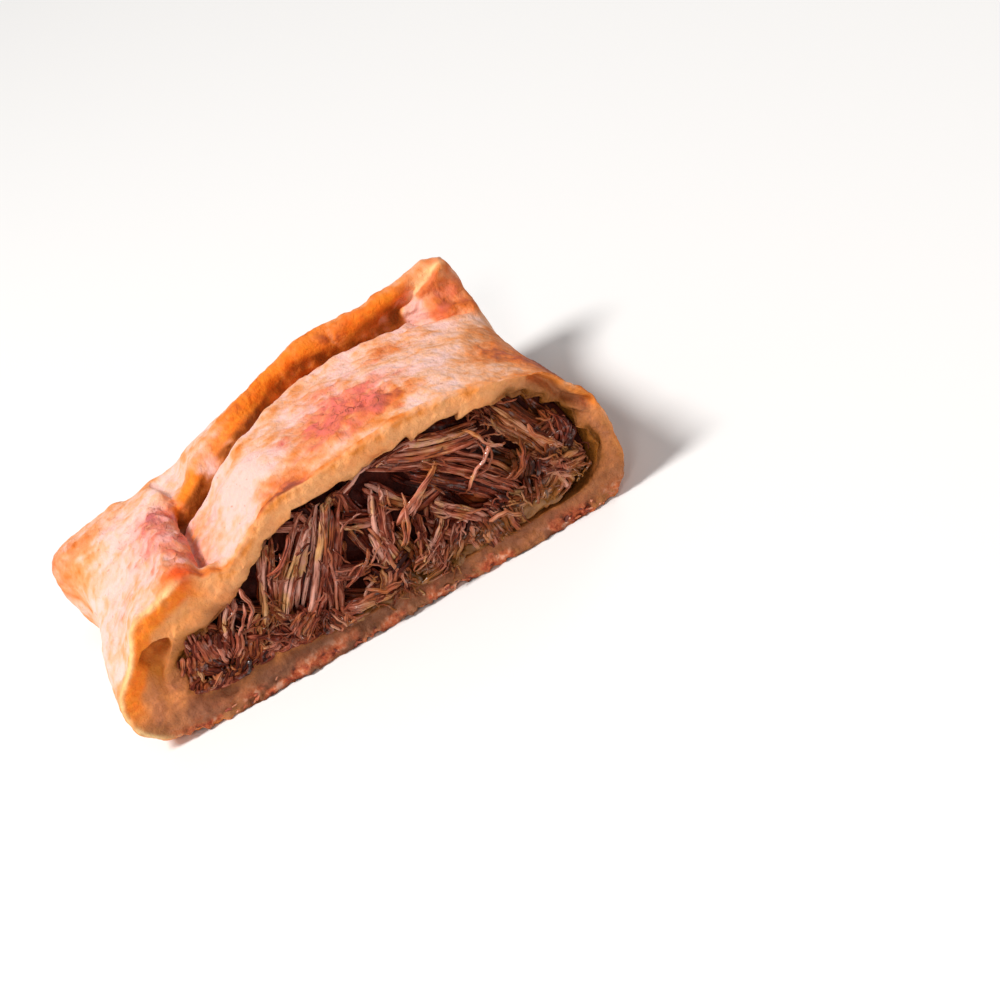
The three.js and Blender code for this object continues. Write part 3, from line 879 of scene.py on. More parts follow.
crustTones = {
    "skin": [
        (0.00, (0.90, 0.56, 0.49)),
        (0.18, (0.87, 0.47, 0.31)),
        (0.36, (0.83, 0.33, 0.13)),
        (0.58, (0.74, 0.19, 0.025)),
        (0.82, (0.44, 0.09, 0.015)),
        (1.00, (0.20, 0.045, 0.015)),
    ],
    "dough": [  # from the skin to the beef
        (0.00, (0.74, 0.29, 0.085)),
        (0.16, (0.60, 0.205, 0.065)),
        (0.42, (0.58, 0.205, 0.095)),
        (0.70, (0.44, 0.135, 0.055)),
        (1.00, (0.24, 0.065, 0.018)),
    ],
    "flakes": [
        (0.33, (0.080, 0.014, 0.007)),
        (0.43, (0.42, 0.070, 0.028)),
        (0.53, (0.60, 0.150, 0.055)),
        (0.66, (0.80, 0.400, 0.260)),
    ],
    "blush": (0.77, 0.16, 0.12),
    "cracks": (0.40, 0.10, 0.04),
    "specks": (0.46, 0.13, 0.04),
    "warm": (1.0, 0.350, 0.105),
}

# Colours laid over others: the attribute that says where, how strong, and one colour or two in patches
plumTint = [("plum", 0.9, (0.36, 0.065, 0.095))]
# cream: partly a painted highlight of the cut's top edge and the pocket's ridge
creamTint = [("cream", 0.95, (1.0, 0.455, 0.180))]
doughTints = [
    ("golden", 0.85, ((0.62, 0.180, 0.014), (0.84, 0.310, 0.040))),
    # painted shade at the top of the hollow
    ("deep", 0.75, (0.34, 0.050, 0.003)),
    # painted shade, darker towards the bottom and at the right end
    ("dim", 0.9, ((0.107, 0.031, 0.015), (0.248, 0.105, 0.057))),
    ("soak", 1.0, (0.26, 0.085, 0.012)),
]
edgeTints = [
    ("amber", 0.9, ((0.95, 0.155, 0.005), (1.0, 0.290, 0.018))),
    # painted shade in the folds' bottoms and at the crevice's foot
    ("crease", 0.85, (0.19, 0.042, 0.006)),
    # painted highlight on the ridge and on the rolled rim at the left end of the cut
    ("paintedHighlight", 0.9, (1.0, 0.70, 0.33)),
    ("rim", 0.85, (0.80, 0.23, 0.025)),
    ("ember", 0.9, (0.78, 0.075, 0.008)),
    ("burnt", 0.8, (0.10, 0.020, 0.008)),
]


def layTints(tree, color, tints, patches):
    for name, strength, tint in tints:
        if isinstance(tint[0], tuple):
            tint = mixColor(tree, patches, *tint)
        color = mixColor(tree, math2(tree, "MULTIPLY", attributeOf(tree, name), strength), color, tint)
    return color


def wrinkleLines(tree, vector, grain):  # short curved wrinkles that come and go
    wave = noiseMask(tree, vector, grain, 1.5, 0.5)
    off = math2(tree, "ABSOLUTE", math2(tree, "SUBTRACT", wave, 0.5), 0.0)
    lines = mapRange(tree, off, 0.004, 0.022, 1, 0)
    broken = mapRange(tree, noiseMask(tree, vector, grain * 0.7, 2.0), 0.50, 0.58)
    return math2(tree, "MULTIPLY", lines, broken)


def crustMaterial():
    material, tree, shader = newMaterial("bakedCrust")
    coords = objectCoords(tree)
    drawn = stretched(tree, coords, crustForm["stretch"])
    mask, fine = patchy(tree, drawn, 7.0, 3.0)
    crumbMask = patchy(tree, coords, 3.5, 1.0)[0]

    # skin: browning, blush, plum, cracked blisters and specks
    flour = noiseMask(tree, drawn, 1.7, 1.5, 0.5)
    toast = varied(tree, attributeOf(tree, "toast"), mask, 0.17)
    toast = varied(tree, toast, flour, 0.06, 0.35, 0.65)
    skin = colorRamp(tree, toast, crustTones["skin"])
    uneven = mapRange(tree, fine, 0.3, 0.6, 0.45, 1.0)
    blush = math2(tree, "MULTIPLY", attributeOf(tree, "blush"), uneven, True)
    skin = mixColor(tree, blush, skin, crustTones["blush"])
    skin = layTints(tree, skin, plumTint, crumbMask)
    blistered = attributeOf(tree, "blisters")
    smallCracks = math2(tree, "MULTIPLY", wrinkleLines(tree, drawn, 1.6), blistered)
    cracks = math2(tree, "MAXIMUM", wrinkleLines(tree, drawn, 3.0), smallCracks)
    crackle = math2(tree, "MULTIPLY", cracks, mapRange(tree, blistered, 0, 1, 0.06, 0.9))
    skin = mixColor(tree, crackle, skin, crustTones["cracks"])
    specks = mapRange(tree, noiseMask(tree, drawn, 1.3, 2.0), 0.68, 0.74, 0.0, 0.5)
    skin = mixColor(tree, specks, skin, crustTones["specks"])

    # dough at the cut: layers, cream, warm patches, soaked and flaky places
    layers = varied(tree, attributeOf(tree, "across"), crumbMask, 0.16)
    dough = colorRamp(tree, layers, crustTones["dough"])
    dough = layTints(tree, dough, creamTint, crumbMask)
    warm = mapRange(tree, noiseMask(tree, coords, 5.0, 3.0, 0.6), 0.46, 0.62, 0.0, 0.6)
    dough = mixColor(tree, warm, dough, crustTones["warm"])
    dough = layTints(tree, dough, doughTints, crumbMask)
    flakes = colorRamp(tree, noiseMask(tree, coords, 2.0, 3.0, 0.6), crustTones["flakes"])
    dough = mixColor(tree, attributeOf(tree, "flaky"), dough, flakes)

    onCut = attributeOf(tree, "cut")
    color = layTints(tree, mixColor(tree, onCut, skin, dough), edgeTints, crumbMask)
    dry = mapRange(tree, fine, 0.3, 0.7, 0.48, 0.68)
    moist = math2(tree, "MAXIMUM", attributeOf(tree, "soak"), attributeOf(tree, "dim"))
    wrinkles = noiseMask(tree, drawn, 1.4, 4.0, 0.6)
    wrinkles = math2(tree, "SUBTRACT", wrinkles, math2(tree, "MULTIPLY", crackle, 0.6))
    pores = noiseMask(tree, coords, 0.9, 4.0, 0.65)
    height = addNode(tree, "ShaderNodeMix", {0: onCut, 2: wrinkles, 3: pores}).outputs[0]
    setInputs(tree, shader, {
        "Base Color": color,
        "Roughness": math2(tree, "SUBTRACT", dry, math2(tree, "MULTIPLY", moist, 0.28)),
        "Specular IOR Level": 0.14,
        "Subsurface Weight": 0.06,
        "Subsurface Radius": (1.0, 0.4, 0.15),
        "Subsurface Scale": 0.0015,
        "Normal": bump(tree, height, 0.55, 0.9),
    })
    return material


def makeCrust():
    piece = crustBase()
    paintCrust(piece, sculptCrust(piece))
    shadeSmooth(piece.data)
    piece.data.materials.append(crustMaterial())
    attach(piece, "root")
    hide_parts("crust")
    report(piece)


# Shredded beef

beefForm = {
    "seed": 41,
    "strand": (0.65, 1.2),  # width
    "lane": 0.72,  # from strand to strand in a bundle
    "flat": (0.5, 0.9),  # thickness as a share of the width
    "steps": 14,
    "sides": 8,
    "clear": 0.25,  # kept between strands and dough
    "shadeDepth": (1.2, 5.5),  # strands this far behind the cut are darker: painted shade
    "shade": 0.36,
}

# The deeper bundles that close the gaps over the core, a little darker as painted shade
bedForm = {"count": 48, "turn": (-1.1, 0.6), "reach": (4.5, 8.0), "width": (2.5, 4.5), "back": (2.4, 4.2)}

# Torn pieces: how wide, thick and long, how many fibres, and their turn: most hang downwards
shredForm = {
    "width": (0.65, 1.3), "flat": (0.4, 0.8), "reach": (1.2, 3.6), "fibres": (3, 7), "turn": (1.1, 0.8),
    "steps": 10, "sides": 7,
}

fibreForm = {"each": 16, "width": (0.2, 0.5), "length": (1.5, 5.0), "turn": 0.45, "steps": 10, "sides": 5}

# Bundles that show: start x and z, end x and z, width, back, strands deep
beefBundles = [
    (-3.7, 27.0, -15.9, 11.4, 4.0, 1.2, 2),
    (0.7, 27.0, -11.9, 8.1, 5.5, 0.8, 2),
    (-4.0, 20.2, -8.4, 5.5, 3.4, 0.8, 1),
    (11.5, 31.0, 30.5, 23.6, 6.5, 1.2, 2),
    (18.4, 24.9, 31.1, 11.4, 7.5, 0.3, 2),
    (34.4, 27.6, 42.0, 13.0, 6.0, 1.3, 2),
    (31.3, 30.4, 33.4, 24.6, 3.0, 3.4, 2),
    (43.0, 18.5, 44.8, 8.4, 3.0, 2.4, 1),
    (35.3, 15.0, 43.4, 7.5, 3.2, 0.8, 1),
    (9.4, 24.3, 4.4, 6.3, 2.8, 0.9, 2),
    (5.3, 18.5, 6.5, 4.6, 2.6, 0.4, 1),
    (-5.0, 14.4, 1.6, 12.3, 2.6, 0.8, 1),
    (-6.5, 7.5, 2.9, 5.8, 2.4, 0.0, 1),
    (-12.4, 26.0, -19.1, 12.1, 3.2, 1.2, 2),
    (-23.0, 21.0, -28.0, 12.0, 3.0, 1.0, 2),
    (17.0, 16.7, 25.5, 6.4, 3.0, 0.4, 1),
    (13.3, 16.9, 12.4, 9.7, 1.8, 0.0, 1),
    (17.7, 14.1, 12.4, 9.0, 1.8, -0.2, 1),
    (19.9, 12.1, 15.3, 5.0, 2.2, 0.0, 1),
    (-18.5, 16.0, -15.5, 7.5, 2.6, 1.2, 2),
    (-24.0, 13.0, -18.0, 8.5, 2.4, 0.8, 1),
    (0.5, 23.0, 8.0, 19.5, 3.0, 1.8, 2),
    (26.0, 12.0, 35.0, 8.0, 3.0, 0.5, 1),
]

# Loose single shreds over the bundles: start x and z, end x and z, width
looseShreds = [
    (31.9, 23.4, 23.2, 16.3, 1.2),
    (31.0, 22.0, 25.0, 18.3, 0.9),
    (21.1, 24.6, 9.6, 17.1, 1.3),
    (20.0, 24.5, 12.5, 17.5, 0.9),
    (13.0, 22.5, 8.5, 13.0, 1.2),
    (28.0, 27.5, 33.0, 20.5, 1.0),
    (36.0, 21.0, 33.5, 14.0, 1.1),
    (37.0, 17.0, 30.0, 14.5, 1.0),
    (3.0, 16.0, -3.5, 11.0, 1.0),
    (-8.5, 26.5, -15.0, 21.0, 1.0),
    (-20.5, 22.0, -23.0, 14.0, 1.2),
    (24.0, 9.5, 31.0, 7.0, 1.1),
    (39.0, 22.0, 43.0, 15.0, 1.1),
    (-1.0, 9.0, 6.0, 6.5, 1.0),
]

# Where short torn shreds are heaped: x and z of the middle, half sizes, back, how many
shredHeaps = [
    (-32.0, 11.5, 6.5, 5.0, 0.6, 36),
    (-22.5, 9.5, 5.5, 3.6, 0.9, 24),
    (-13.0, 7.5, 5.0, 2.2, 0.5, 16),
    (-26.0, 6.8, 10.0, 0.8, 0.6, 30),
    (-10.0, 5.4, 7.0, 0.8, 0.5, 16),
    (38.0, 11.5, 5.5, 4.5, 0.9, 26),
    (8.0, 8.0, 8.0, 3.0, 0.6, 30),
    (24.0, 8.0, 8.0, 2.6, 0.5, 26),
    (42.5, 19.0, 2.4, 4.5, 1.6, 7),
]

# The gravy's level along the pocket's lower edge: x, z
gravyRun = [(-7, 4.0), (0, 3.6), (9, 4.0), (16, 4.3), (22, 4.9), (30, 5.4), (35, 6.0), (38, 6.6)]


def newHeap(steps):  # strands of the same number of steps
    return {"steps": steps, "strands": []}


def lineParts(start, end):  # the way along, the length and the way across
    along = np.array(end) - np.array(start)
    length = max(np.hypot(*along), 1e-6)
    return along, length, np.array([-along[1], along[0]]) / length


def headed(turn):
    return np.array([math.cos(turn), math.sin(turn)])


def clearOfDough(path, reach):  # keeps a path inside the pocket's edge at the cut
    flat = path[:, [0, 2]]
    inside, near = edgeDistance(flat, pocketEdge)
    way = (flat - near) / np.where(np.abs(inside) < 1e-6, 1e-6, inside)[:, None]
    path[:, [0, 2]] = np.where((inside < reach)[:, None], near + way * reach, flat)
    return path


def waverLine(rng, t, size):
    turns = rng.uniform(0.6, 1.6)
    phase = rng.uniform(0, 2 * math.pi)
    slow = np.sin(2 * math.pi * turns * t + phase)
    return size * (slow + 0.35 * np.sin(5.3 * math.pi * turns * t + 2 * phase))


def strandWidth(rng, t, width):  # full in the middle, ragged at the tips
    firstTip = ramp(t, -0.05, rng.uniform(0.06, 0.2))
    lastTip = ramp(-t, -1.05, -rng.uniform(0.8, 0.94))
    uneven = 1 + 0.1 * np.sin(2 * math.pi * (t * rng.uniform(1, 3) + rng.random()))
    return width * (0.12 + 0.88 * np.minimum(firstTip, lastTip)) * uneven


def layStrand(heap, rng, start, end, width, back, bow, tuck, waver, tone,
              flat=beefForm["flat"], roll=(0.5, 0.6)):
    t = np.linspace(0, 1, heap["steps"])
    along, _, across = lineParts(start, end)
    side = bow * (1 - (2 * t - 1) ** 2) + waverLine(rng, t, waver)
    places = np.array(start) + t[:, None] * along + side[:, None] * across
    depth = back + tuck * np.abs(2 * t - 1) ** 3 + waverLine(rng, t, 0.6 * waver)
    path = np.stack([places[:, 0], depth, places[:, 1]], axis=1)
    path = clearOfDough(path, 0.5 * width * 0.7 + beefForm["clear"])
    turn = rng.uniform(-roll[0], roll[0]) + rng.uniform(-roll[1], roll[1]) * t
    heap["strands"].append((path, strandWidth(rng, t, width), rng.uniform(*flat), tone, turn))


def layBundle(heap, rng, row, toneShift=0.0):
    start, end = np.array(row[:2]), np.array(row[2:4])
    width, back, deep = row[4:]
    along, length, across = lineParts(start, end)
    lanes = max(2, round(width / beefForm["lane"]))
    bow = rng.uniform(-0.06, 0.06) * length
    tone = rng.uniform(0.42, 0.82) + toneShift
    for layer in range(deep):
        for lane in range(lanes):
            offset = ((lane + 0.5) / lanes - 0.5 + rng.uniform(-0.05, 0.05)) * width
            ends = rng.uniform(-0.09, 0.11, 2)
            splay = rng.uniform(0.75, 1.15, 2)
            first = start + along * ends[0] + across * offset * splay[0]
            last = end - along * ends[1] + across * offset * splay[1]
            crown = 0.8 * (2 * offset / max(width, 1)) ** 2  # the bundle is round across
            depth = back + crown + layer + rng.uniform(-0.3, 0.6)
            thick = rng.uniform(*beefForm["strand"])
            tuck = rng.uniform(0.1, 0.9)
            strandTone = limited(tone + rng.uniform(-0.42, 0.36))
            layStrand(heap, rng, first, last, thick, depth, bow, tuck, 0.2, strandTone)


def layBodies(heap, rng):  # the solid meat that each bundle's strands lie on
    for row in beefBundles:
        start, end, width = np.array(row[:2]), np.array(row[2:4]), row[4]
        along, length, _ = lineParts(start, end)
        bow = rng.uniform(-0.04, 0.04) * length
        tone = rng.uniform(0.2, 0.4)
        layStrand(heap, rng, start + 0.03 * along, end - 0.03 * along, width * 0.95,
                  row[5] + 0.45 * width + 0.6, bow, 0.8, 0.1, tone, roll=(0, 0))


def layBed(heap, rng):
    low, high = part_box("filling")
    made = 0
    while made < bedForm["count"]:
        x = rng.uniform(low.x, high.x) / mm
        z = rng.uniform(low.z, high.z) / mm
        if frontHit(fillingTree, x, z) is None:
            continue
        step = headed(rng.normal(*bedForm["turn"])) * rng.uniform(*bedForm["reach"])
        size = (rng.uniform(*bedForm["width"]), rng.uniform(*bedForm["back"]), 1)
        # painted shade: the deeper bed is a little darker
        layBundle(heap, rng, (x - step[0], z - step[1], x + step[0], z + step[1], *size), -0.1)
        made += 1


def layShreds(heap, rng):  # short torn pieces of a few fibres each
    for x, z, halfX, halfZ, back, count in shredHeaps:
        for _ in range(count):
            angle = rng.uniform(0, 2 * math.pi)
            far = math.sqrt(rng.random())
            middle = np.array([x + halfX * far * math.cos(angle), z + halfZ * far * math.sin(angle)])
            turn = rng.normal(*shredForm["turn"])
            step = headed(turn) * rng.uniform(*shredForm["reach"])
            across = np.array([-math.sin(turn), math.cos(turn)]) * beefForm["lane"]
            depth = back + rng.uniform(-0.7, 1.6)
            bow = rng.uniform(-0.35, 0.35)
            tuck = rng.uniform(-0.4, 1.4)
            tone = rng.uniform(0.1, 0.65)
            fibres = rng.integers(*shredForm["fibres"])
            for k in range(fibres):
                offset = across * (k - (fibres - 1) / 2)
                first = middle - step * rng.uniform(0.7, 1.15) + offset * rng.uniform(0.6, 1.6)
                last = middle + step * rng.uniform(0.7, 1.15) + offset * rng.uniform(0.6, 1.6)
                width = rng.uniform(*shredForm["width"])
                fibreDepth = depth + rng.uniform(-0.2, 0.4)
                fibreTone = limited(tone + rng.uniform(-0.25, 0.25))
                layStrand(heap, rng, first, last, width, fibreDepth, bow, tuck, 0.15, fibreTone,
                          shredForm["flat"], (0.8, 0.8))


def layLoose(heap, rng):  # single shreds over the bundles, some of them forked
    for row in looseShreds:
        start, end, width = np.array(row[:2]), np.array(row[2:4]), row[4]
        bow = rng.uniform(-1.2, 1.2)
        tone = rng.uniform(0.4, 0.7)
        layStrand(heap, rng, start, end, 0.85 * width, -0.8, bow, 1.4, 0.3, tone, roll=(0.8, 1.5))
        if rng.random() < 0.7:
            middle = start + rng.uniform(0.3, 0.6) * (end - start)
            aside = np.array([start[1] - end[1], end[0] - start[0]]) * rng.uniform(-0.22, 0.22)
            layStrand(heap, rng, middle, end + aside, 0.5 * width, -0.7, 0.5 * bow, 1.2, 0.2, tone)


def layFibres(heap, rng):  # thin frayed fibres at the bundles' ends and over them
    for row in beefBundles:
        start = np.array(row[:2])
        along, _, across = lineParts(start, row[2:4])
        for _ in range(fibreForm["each"]):
            at = rng.choice([rng.uniform(-0.06, 0.15), rng.uniform(0.2, 0.8), rng.uniform(0.85, 1.06)])
            first = start + along * at + across * (rng.uniform(-0.55, 0.55) * row[4])
            turn = math.atan2(along[1], along[0]) + rng.normal(0, fibreForm["turn"])
            last = first + headed(turn) * rng.uniform(*fibreForm["length"])
            depth = row[5] - rng.uniform(0.2, 0.9)
            width = rng.uniform(*fibreForm["width"])
            bow = rng.uniform(-0.6, 0.6)
            tuck = rng.uniform(-0.5, 0.9)
            layStrand(heap, rng, first, last, width, depth, bow, tuck, 0.15, rng.uniform(0.3, 0.8))


def strandMesh(name, heap, rng, sides, ridges, ridgeHeight):  # each strand is a closed, lobed tube
    paths, widths, flats, tones, rolls = (np.array(column) for column in zip(*heap["strands"]))
    count, steps = widths.shape
    along = np.gradient(paths, axis=1)
    along /= np.maximum(np.linalg.norm(along, axis=2, keepdims=True), 1e-6)
    level = np.cross(along, np.array([0.05, -1.0, 0.08]))
    level /= np.maximum(np.linalg.norm(level, axis=2, keepdims=True), 1e-6)
    upright = np.cross(level, along)
    cosRoll, sinRoll = np.cos(rolls)[..., None], np.sin(rolls)[..., None]
    across = cosRoll * level + sinRoll * upright
    outward = cosRoll * upright - sinRoll * level
    angle = np.linspace(0, 2 * math.pi, sides, endpoint=False)
    twist = np.linspace(0, 1, steps)[None, :, None] * rng.uniform(-2, 2, (count, 1, 1))
    phase = rng.uniform(0, 2 * math.pi, (count, 1, 1)) + twist
    lobes = 1 + 0.12 * np.cos(2 * angle + phase) + ridgeHeight * np.cos(ridges * angle - 1.7 * phase)
    radius = 0.5 * widths[:, :, None] * lobes
    points = paths[:, :, None] + (radius * np.cos(angle))[..., None] * across[:, :, None]
    points = points + (radius * flats[:, None, None] * np.sin(angle))[..., None] * outward[:, :, None]
    points = points.reshape(-1, 3)
    ring = np.arange(sides)
    nextRing = (ring + 1) % sides
    step = np.arange(steps - 1)[:, None] * sides
    quads = [step + ring, step + sides + ring, step + sides + nextRing, step + nextRing]
    quads = np.stack(quads, axis=-1).reshape(-1, 4)
    caps = np.stack([ring, (steps - 1) * sides + ring[::-1]])
    base = np.arange(count)[:, None, None] * steps * sides
    quads = (base + quads[None]).reshape(-1, 4)
    caps = (base + caps[None]).reshape(-1, sides)
    mesh = bpy.data.meshes.new(name)
    placed = (points + np.array([0, cutY, 0])) * mm
    mesh.from_pydata(placed.tolist(), [], quads.tolist() + caps.tolist())
    mapGrain(mesh, rng, paths, quads, caps)
    # painted shade: strands deeper behind the cut are darker
    shade = beefForm["shade"] * ramp(points[:, 1], *beefForm["shadeDepth"])
    paintAttribute(mesh, "tone", np.repeat(tones, steps * sides) - shade)
    paintAttribute(mesh, "juice", juiceOver(points))
    shadeSmooth(mesh)
    mesh.update()
    return newPiece(name, mesh)


def mapGrain(mesh, rng, paths, quads, caps):  # a UV map that runs round and along each strand
    count, steps = paths.shape[:2]
    sides = caps.shape[1]
    lengths = np.linalg.norm(np.diff(paths, axis=1), axis=2)
    run = np.concatenate([np.zeros((count, 1)), np.cumsum(lengths, axis=1)], axis=1)
    shift = rng.uniform(0, 50, (count, 1))
    around = np.broadcast_to(np.arange(sides) / sides, (count, steps, sides)) + shift[:, :, None]
    lengthwise = np.broadcast_to((run + 7 * shift)[:, :, None], (count, steps, sides))
    perPoint = np.stack([around, lengthwise / 10], axis=-1).reshape(-1, 2)
    uv = perPoint[np.concatenate([quads.ravel(), caps.ravel()])]
    wrap = np.zeros(len(quads) * 4, dtype=bool).reshape(-1, sides, 4)
    wrap[:, -1, 2:] = True  # the last face of each ring closes it
    uv[: len(quads) * 4][wrap.ravel(), 0] += 1
    mesh.uv_layers.new(name="grain").uv.foreach_set("vector", uv.astype(np.float32).ravel())


def juiceOver(points):  # gravy clings to the beef above the lower edge and at the right
    x, _, z = points.T
    above = z - np.interp(x, *np.array(gravyRun).T)
    juice = ramp(-above, -6.0, -0.5) * ramp(x, -14, 2)
    juice = juice + 0.6 * hump(np.hypot((x - 36) / 5, (z - 19) / 7), 1.0)
    return juice * limited(0.75 + 1.3 * noiseOf(points, 3.5, 2, 2.9))


beefTones = {
    "meat": [
        (0.00, (0.024, 0.002, 0.001)),
        (0.30, (0.168, 0.020, 0.007)),
        (0.62, (0.450, 0.116, 0.060)),
        (1.00, (0.800, 0.395, 0.300)),
    ],
    "juice": (0.34, 0.125, 0.035),
    # painted shade between the fibres
    "gaps": (0.033, 0.003, 0.001),
    "broth": (0.98, 1.06, 0.48),  # multiplied over what lies under it
    # painted shade: the deep filling behind the strands is near black
    "core": ((0.016, 0.001, 0.0005), (0.072, 0.008, 0.003)),
}


def beefMaterial():
    material, tree, shader = newMaterial("braisedBeef")
    coords = objectCoords(tree)
    grainUv = addNode(tree, "ShaderNodeUVMap", uv_map="grain").outputs["UV"]
    grain = {"Vector": stretched(tree, grainUv, (9.0, 2.2, 1.0)), "Scale": 1.0, "Detail": 4.0}
    fibres = addNode(tree, "ShaderNodeTexNoise", grain).outputs["Fac"]
    mask = patchy(tree, coords, 5.0, 1.2)[0]
    tone = varied(tree, attributeOf(tree, "tone"), fibres, 0.28, 0.3, 0.7)
    tone = varied(tree, tone, mask, 0.12)
    juice = attributeOf(tree, "juice")
    # painted shade in the grooves between fibres
    gaps = mapRange(tree, fibres, 0.34, 0.46, 0.75, 0.0)
    broth = mapRange(tree, noiseMask(tree, coords, 6.0, 3.0, 0.6), 0.48, 0.59, 0.0, 0.85)
    color = colorRamp(tree, tone, beefTones["meat"])
    color = mixColor(tree, math2(tree, "MULTIPLY", juice, 0.55), color, beefTones["juice"])
    color = mixColor(tree, gaps, color, beefTones["gaps"])
    color = mixColor(tree, math2(tree, "MAXIMUM", broth, juice), color, beefTones["broth"], "MULTIPLY")
    wet = math2(tree, "ADD", noiseMask(tree, coords, 1.5, 2.0), math2(tree, "MULTIPLY", juice, 0.08))
    setInputs(tree, shader, {
        "Base Color": color,
        "Roughness": sheen(tree, coords, 2.2, 0.24, 0.50),
        "Specular IOR Level": 0.15,
        "Coat Weight": mapRange(tree, wet, 0.555, 0.64),
        "Coat Roughness": 0.06,
        "Coat IOR": 1.6,
        "Coat Normal": bump(tree, noiseMask(tree, coords, 0.8, 2.0), 0.25),
        "Subsurface Weight": 0.06,
        "Subsurface Radius": (1.0, 0.35, 0.2),
        "Subsurface Scale": 0.001,
        "Normal": bump(tree, fibres, 0.34),
    })
    return material


coreForm = {"voxel": 0.9, "smooth": 5, "behind": 4.6, "slope": 0.15, "lumps": 0.9, "lumpSize": 2.6}


# the core behind the strands is painted near black as shade
def makeCore():
    piece = pieceFrom("beefCore", nodeBmesh("filling"))
    voxelRemesh(piece, coreForm["voxel"])
    points = pointsOf(piece.data)
    front = ramp(-points[:, 1], -coreForm["behind"] - 3, -coreForm["behind"])
    points[:, 1] = np.maximum(points[:, 1], coreForm["behind"] + coreForm["slope"] * points[:, 1])
    points = spread(points, piece.data, coreForm["smooth"])
    points[:, 1] -= front * (coreForm["lumps"] * ridgesOf(points, coreForm["lumpSize"], 3.9))
    setPoints(piece.data, points)
    shadeSmooth(piece.data)
    material, tree, shader = newMaterial("beefShade")
    coords = objectCoords(tree)
    mask, fine = patchy(tree, coords, 3.0, 0.9)
    setInputs(tree, shader, {
        "Base Color": mixColor(tree, mask, *beefTones["core"]),
        "Roughness": sheen(tree, coords, 2.0, 0.45, 0.7),
        "Specular IOR Level": 0.12,
        "Normal": bump(tree, fine, 0.4),
    })
    piece.data.materials.append(material)
    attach(piece, "root")
    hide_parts("filling")
    report(piece)


def makeBeef():
    rng = np.random.default_rng(beefForm["seed"])
    material = beefMaterial()
    strands = newHeap(beefForm["steps"])
    layBed(strands, rng)
    for row in beefBundles:
        layBundle(strands, rng, row)
    layLoose(strands, rng)
    shreds = newHeap(shredForm["steps"])
    layShreds(shreds, rng)
    fibres = newHeap(fibreForm["steps"])
    layFibres(fibres, rng)
    bodies = newHeap(beefForm["steps"])
    layBodies(bodies, rng)
    for name, heap, sides, ridges, height in (
        ("beefStrands", strands, beefForm["sides"], 3, 0.10),
        ("beefShreds", shreds, shredForm["sides"], 3, 0.12),
        ("beefFibres", fibres, fibreForm["sides"], 2, 0.08),
        ("beefBodies", bodies, 44, 11, 0.06),
    ):
        piece = strandMesh(name, heap, rng, sides, ridges, height)
        piece.data.materials.append(material)
        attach(piece, "root")
        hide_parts("filling")
        report(piece)


# Gravy along the lower edge of the pocket

gravyForm = {
    "seed": 12, "blobs": 150, "size": (0.4, 1.1), "shape": (1.6, 0.75, 0.8), "back": (0.5, 2.6),
    "voxel": 0.34, "smooth": 4,
}


def makeGravy():
    rng = np.random.default_rng(gravyForm["seed"])
    run = np.array(gravyRun)
    bm = bmesh.new()
    for _ in range(gravyForm["blobs"]):
        at = rng.random() * (len(run) - 1)
        x = np.interp(at, range(len(run)), run[:, 0]) + rng.normal(0, 0.8)
        z = np.interp(at, range(len(run)), run[:, 1]) + rng.normal(0.3, 0.8)
        back = rng.uniform(*gravyForm["back"])
        size = rng.uniform(*gravyForm["size"])
        place = Matrix.Translation(Vector((x, cutY + back, z)) * mm)
        stretch = Matrix.Diagonal((*(size * side * mm for side in gravyForm["shape"]), 1))
        bmesh.ops.create_icosphere(bm, subdivisions=2, radius=1, matrix=place @ stretch)
    piece = pieceFrom("gravy", bm)
    voxelRemesh(piece, gravyForm["voxel"])
    setPoints(piece.data, spread(pointsOf(piece.data), piece.data, gravyForm["smooth"]))
    shadeSmooth(piece.data)
    material, tree, shader = newMaterial("gravy")
    coords = objectCoords(tree)
    mask, fine = patchy(tree, coords, 4.0, 1.0)
    setInputs(tree, shader, {
        "Base Color": mixColor(tree, mask, (0.20, 0.072, 0.014), (0.36, 0.150, 0.040)),
        "Roughness": sheen(tree, coords, 1.6, 0.22, 0.45),
        "Specular IOR Level": 0.25,
        "Coat Weight": 0.35,
        "Coat Roughness": 0.05,
        "Subsurface Weight": 0.15,
        "Subsurface Radius": (1.0, 0.5, 0.2),
        "Subsurface Scale": 0.001,
        "Normal": bump(tree, fine, 0.15),
    })
    piece.data.materials.append(material)
    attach(piece, "root")
    report(piece)


# Crumbs and flakes on the cut's lower edge

crumbForm = {
    "seed": 7, "count": 170, "size": (0.15, 0.5), "uneven": 0.22, "ends": (18, 5),  # kept clear of the ends
    "tones": [
        (0.10, (0.78, 0.40, 0.26)),
        (0.35, (0.60, 0.16, 0.06)),
        (0.65, (0.40, 0.07, 0.03)),
        (0.90, (0.12, 0.022, 0.012)),
    ],
}


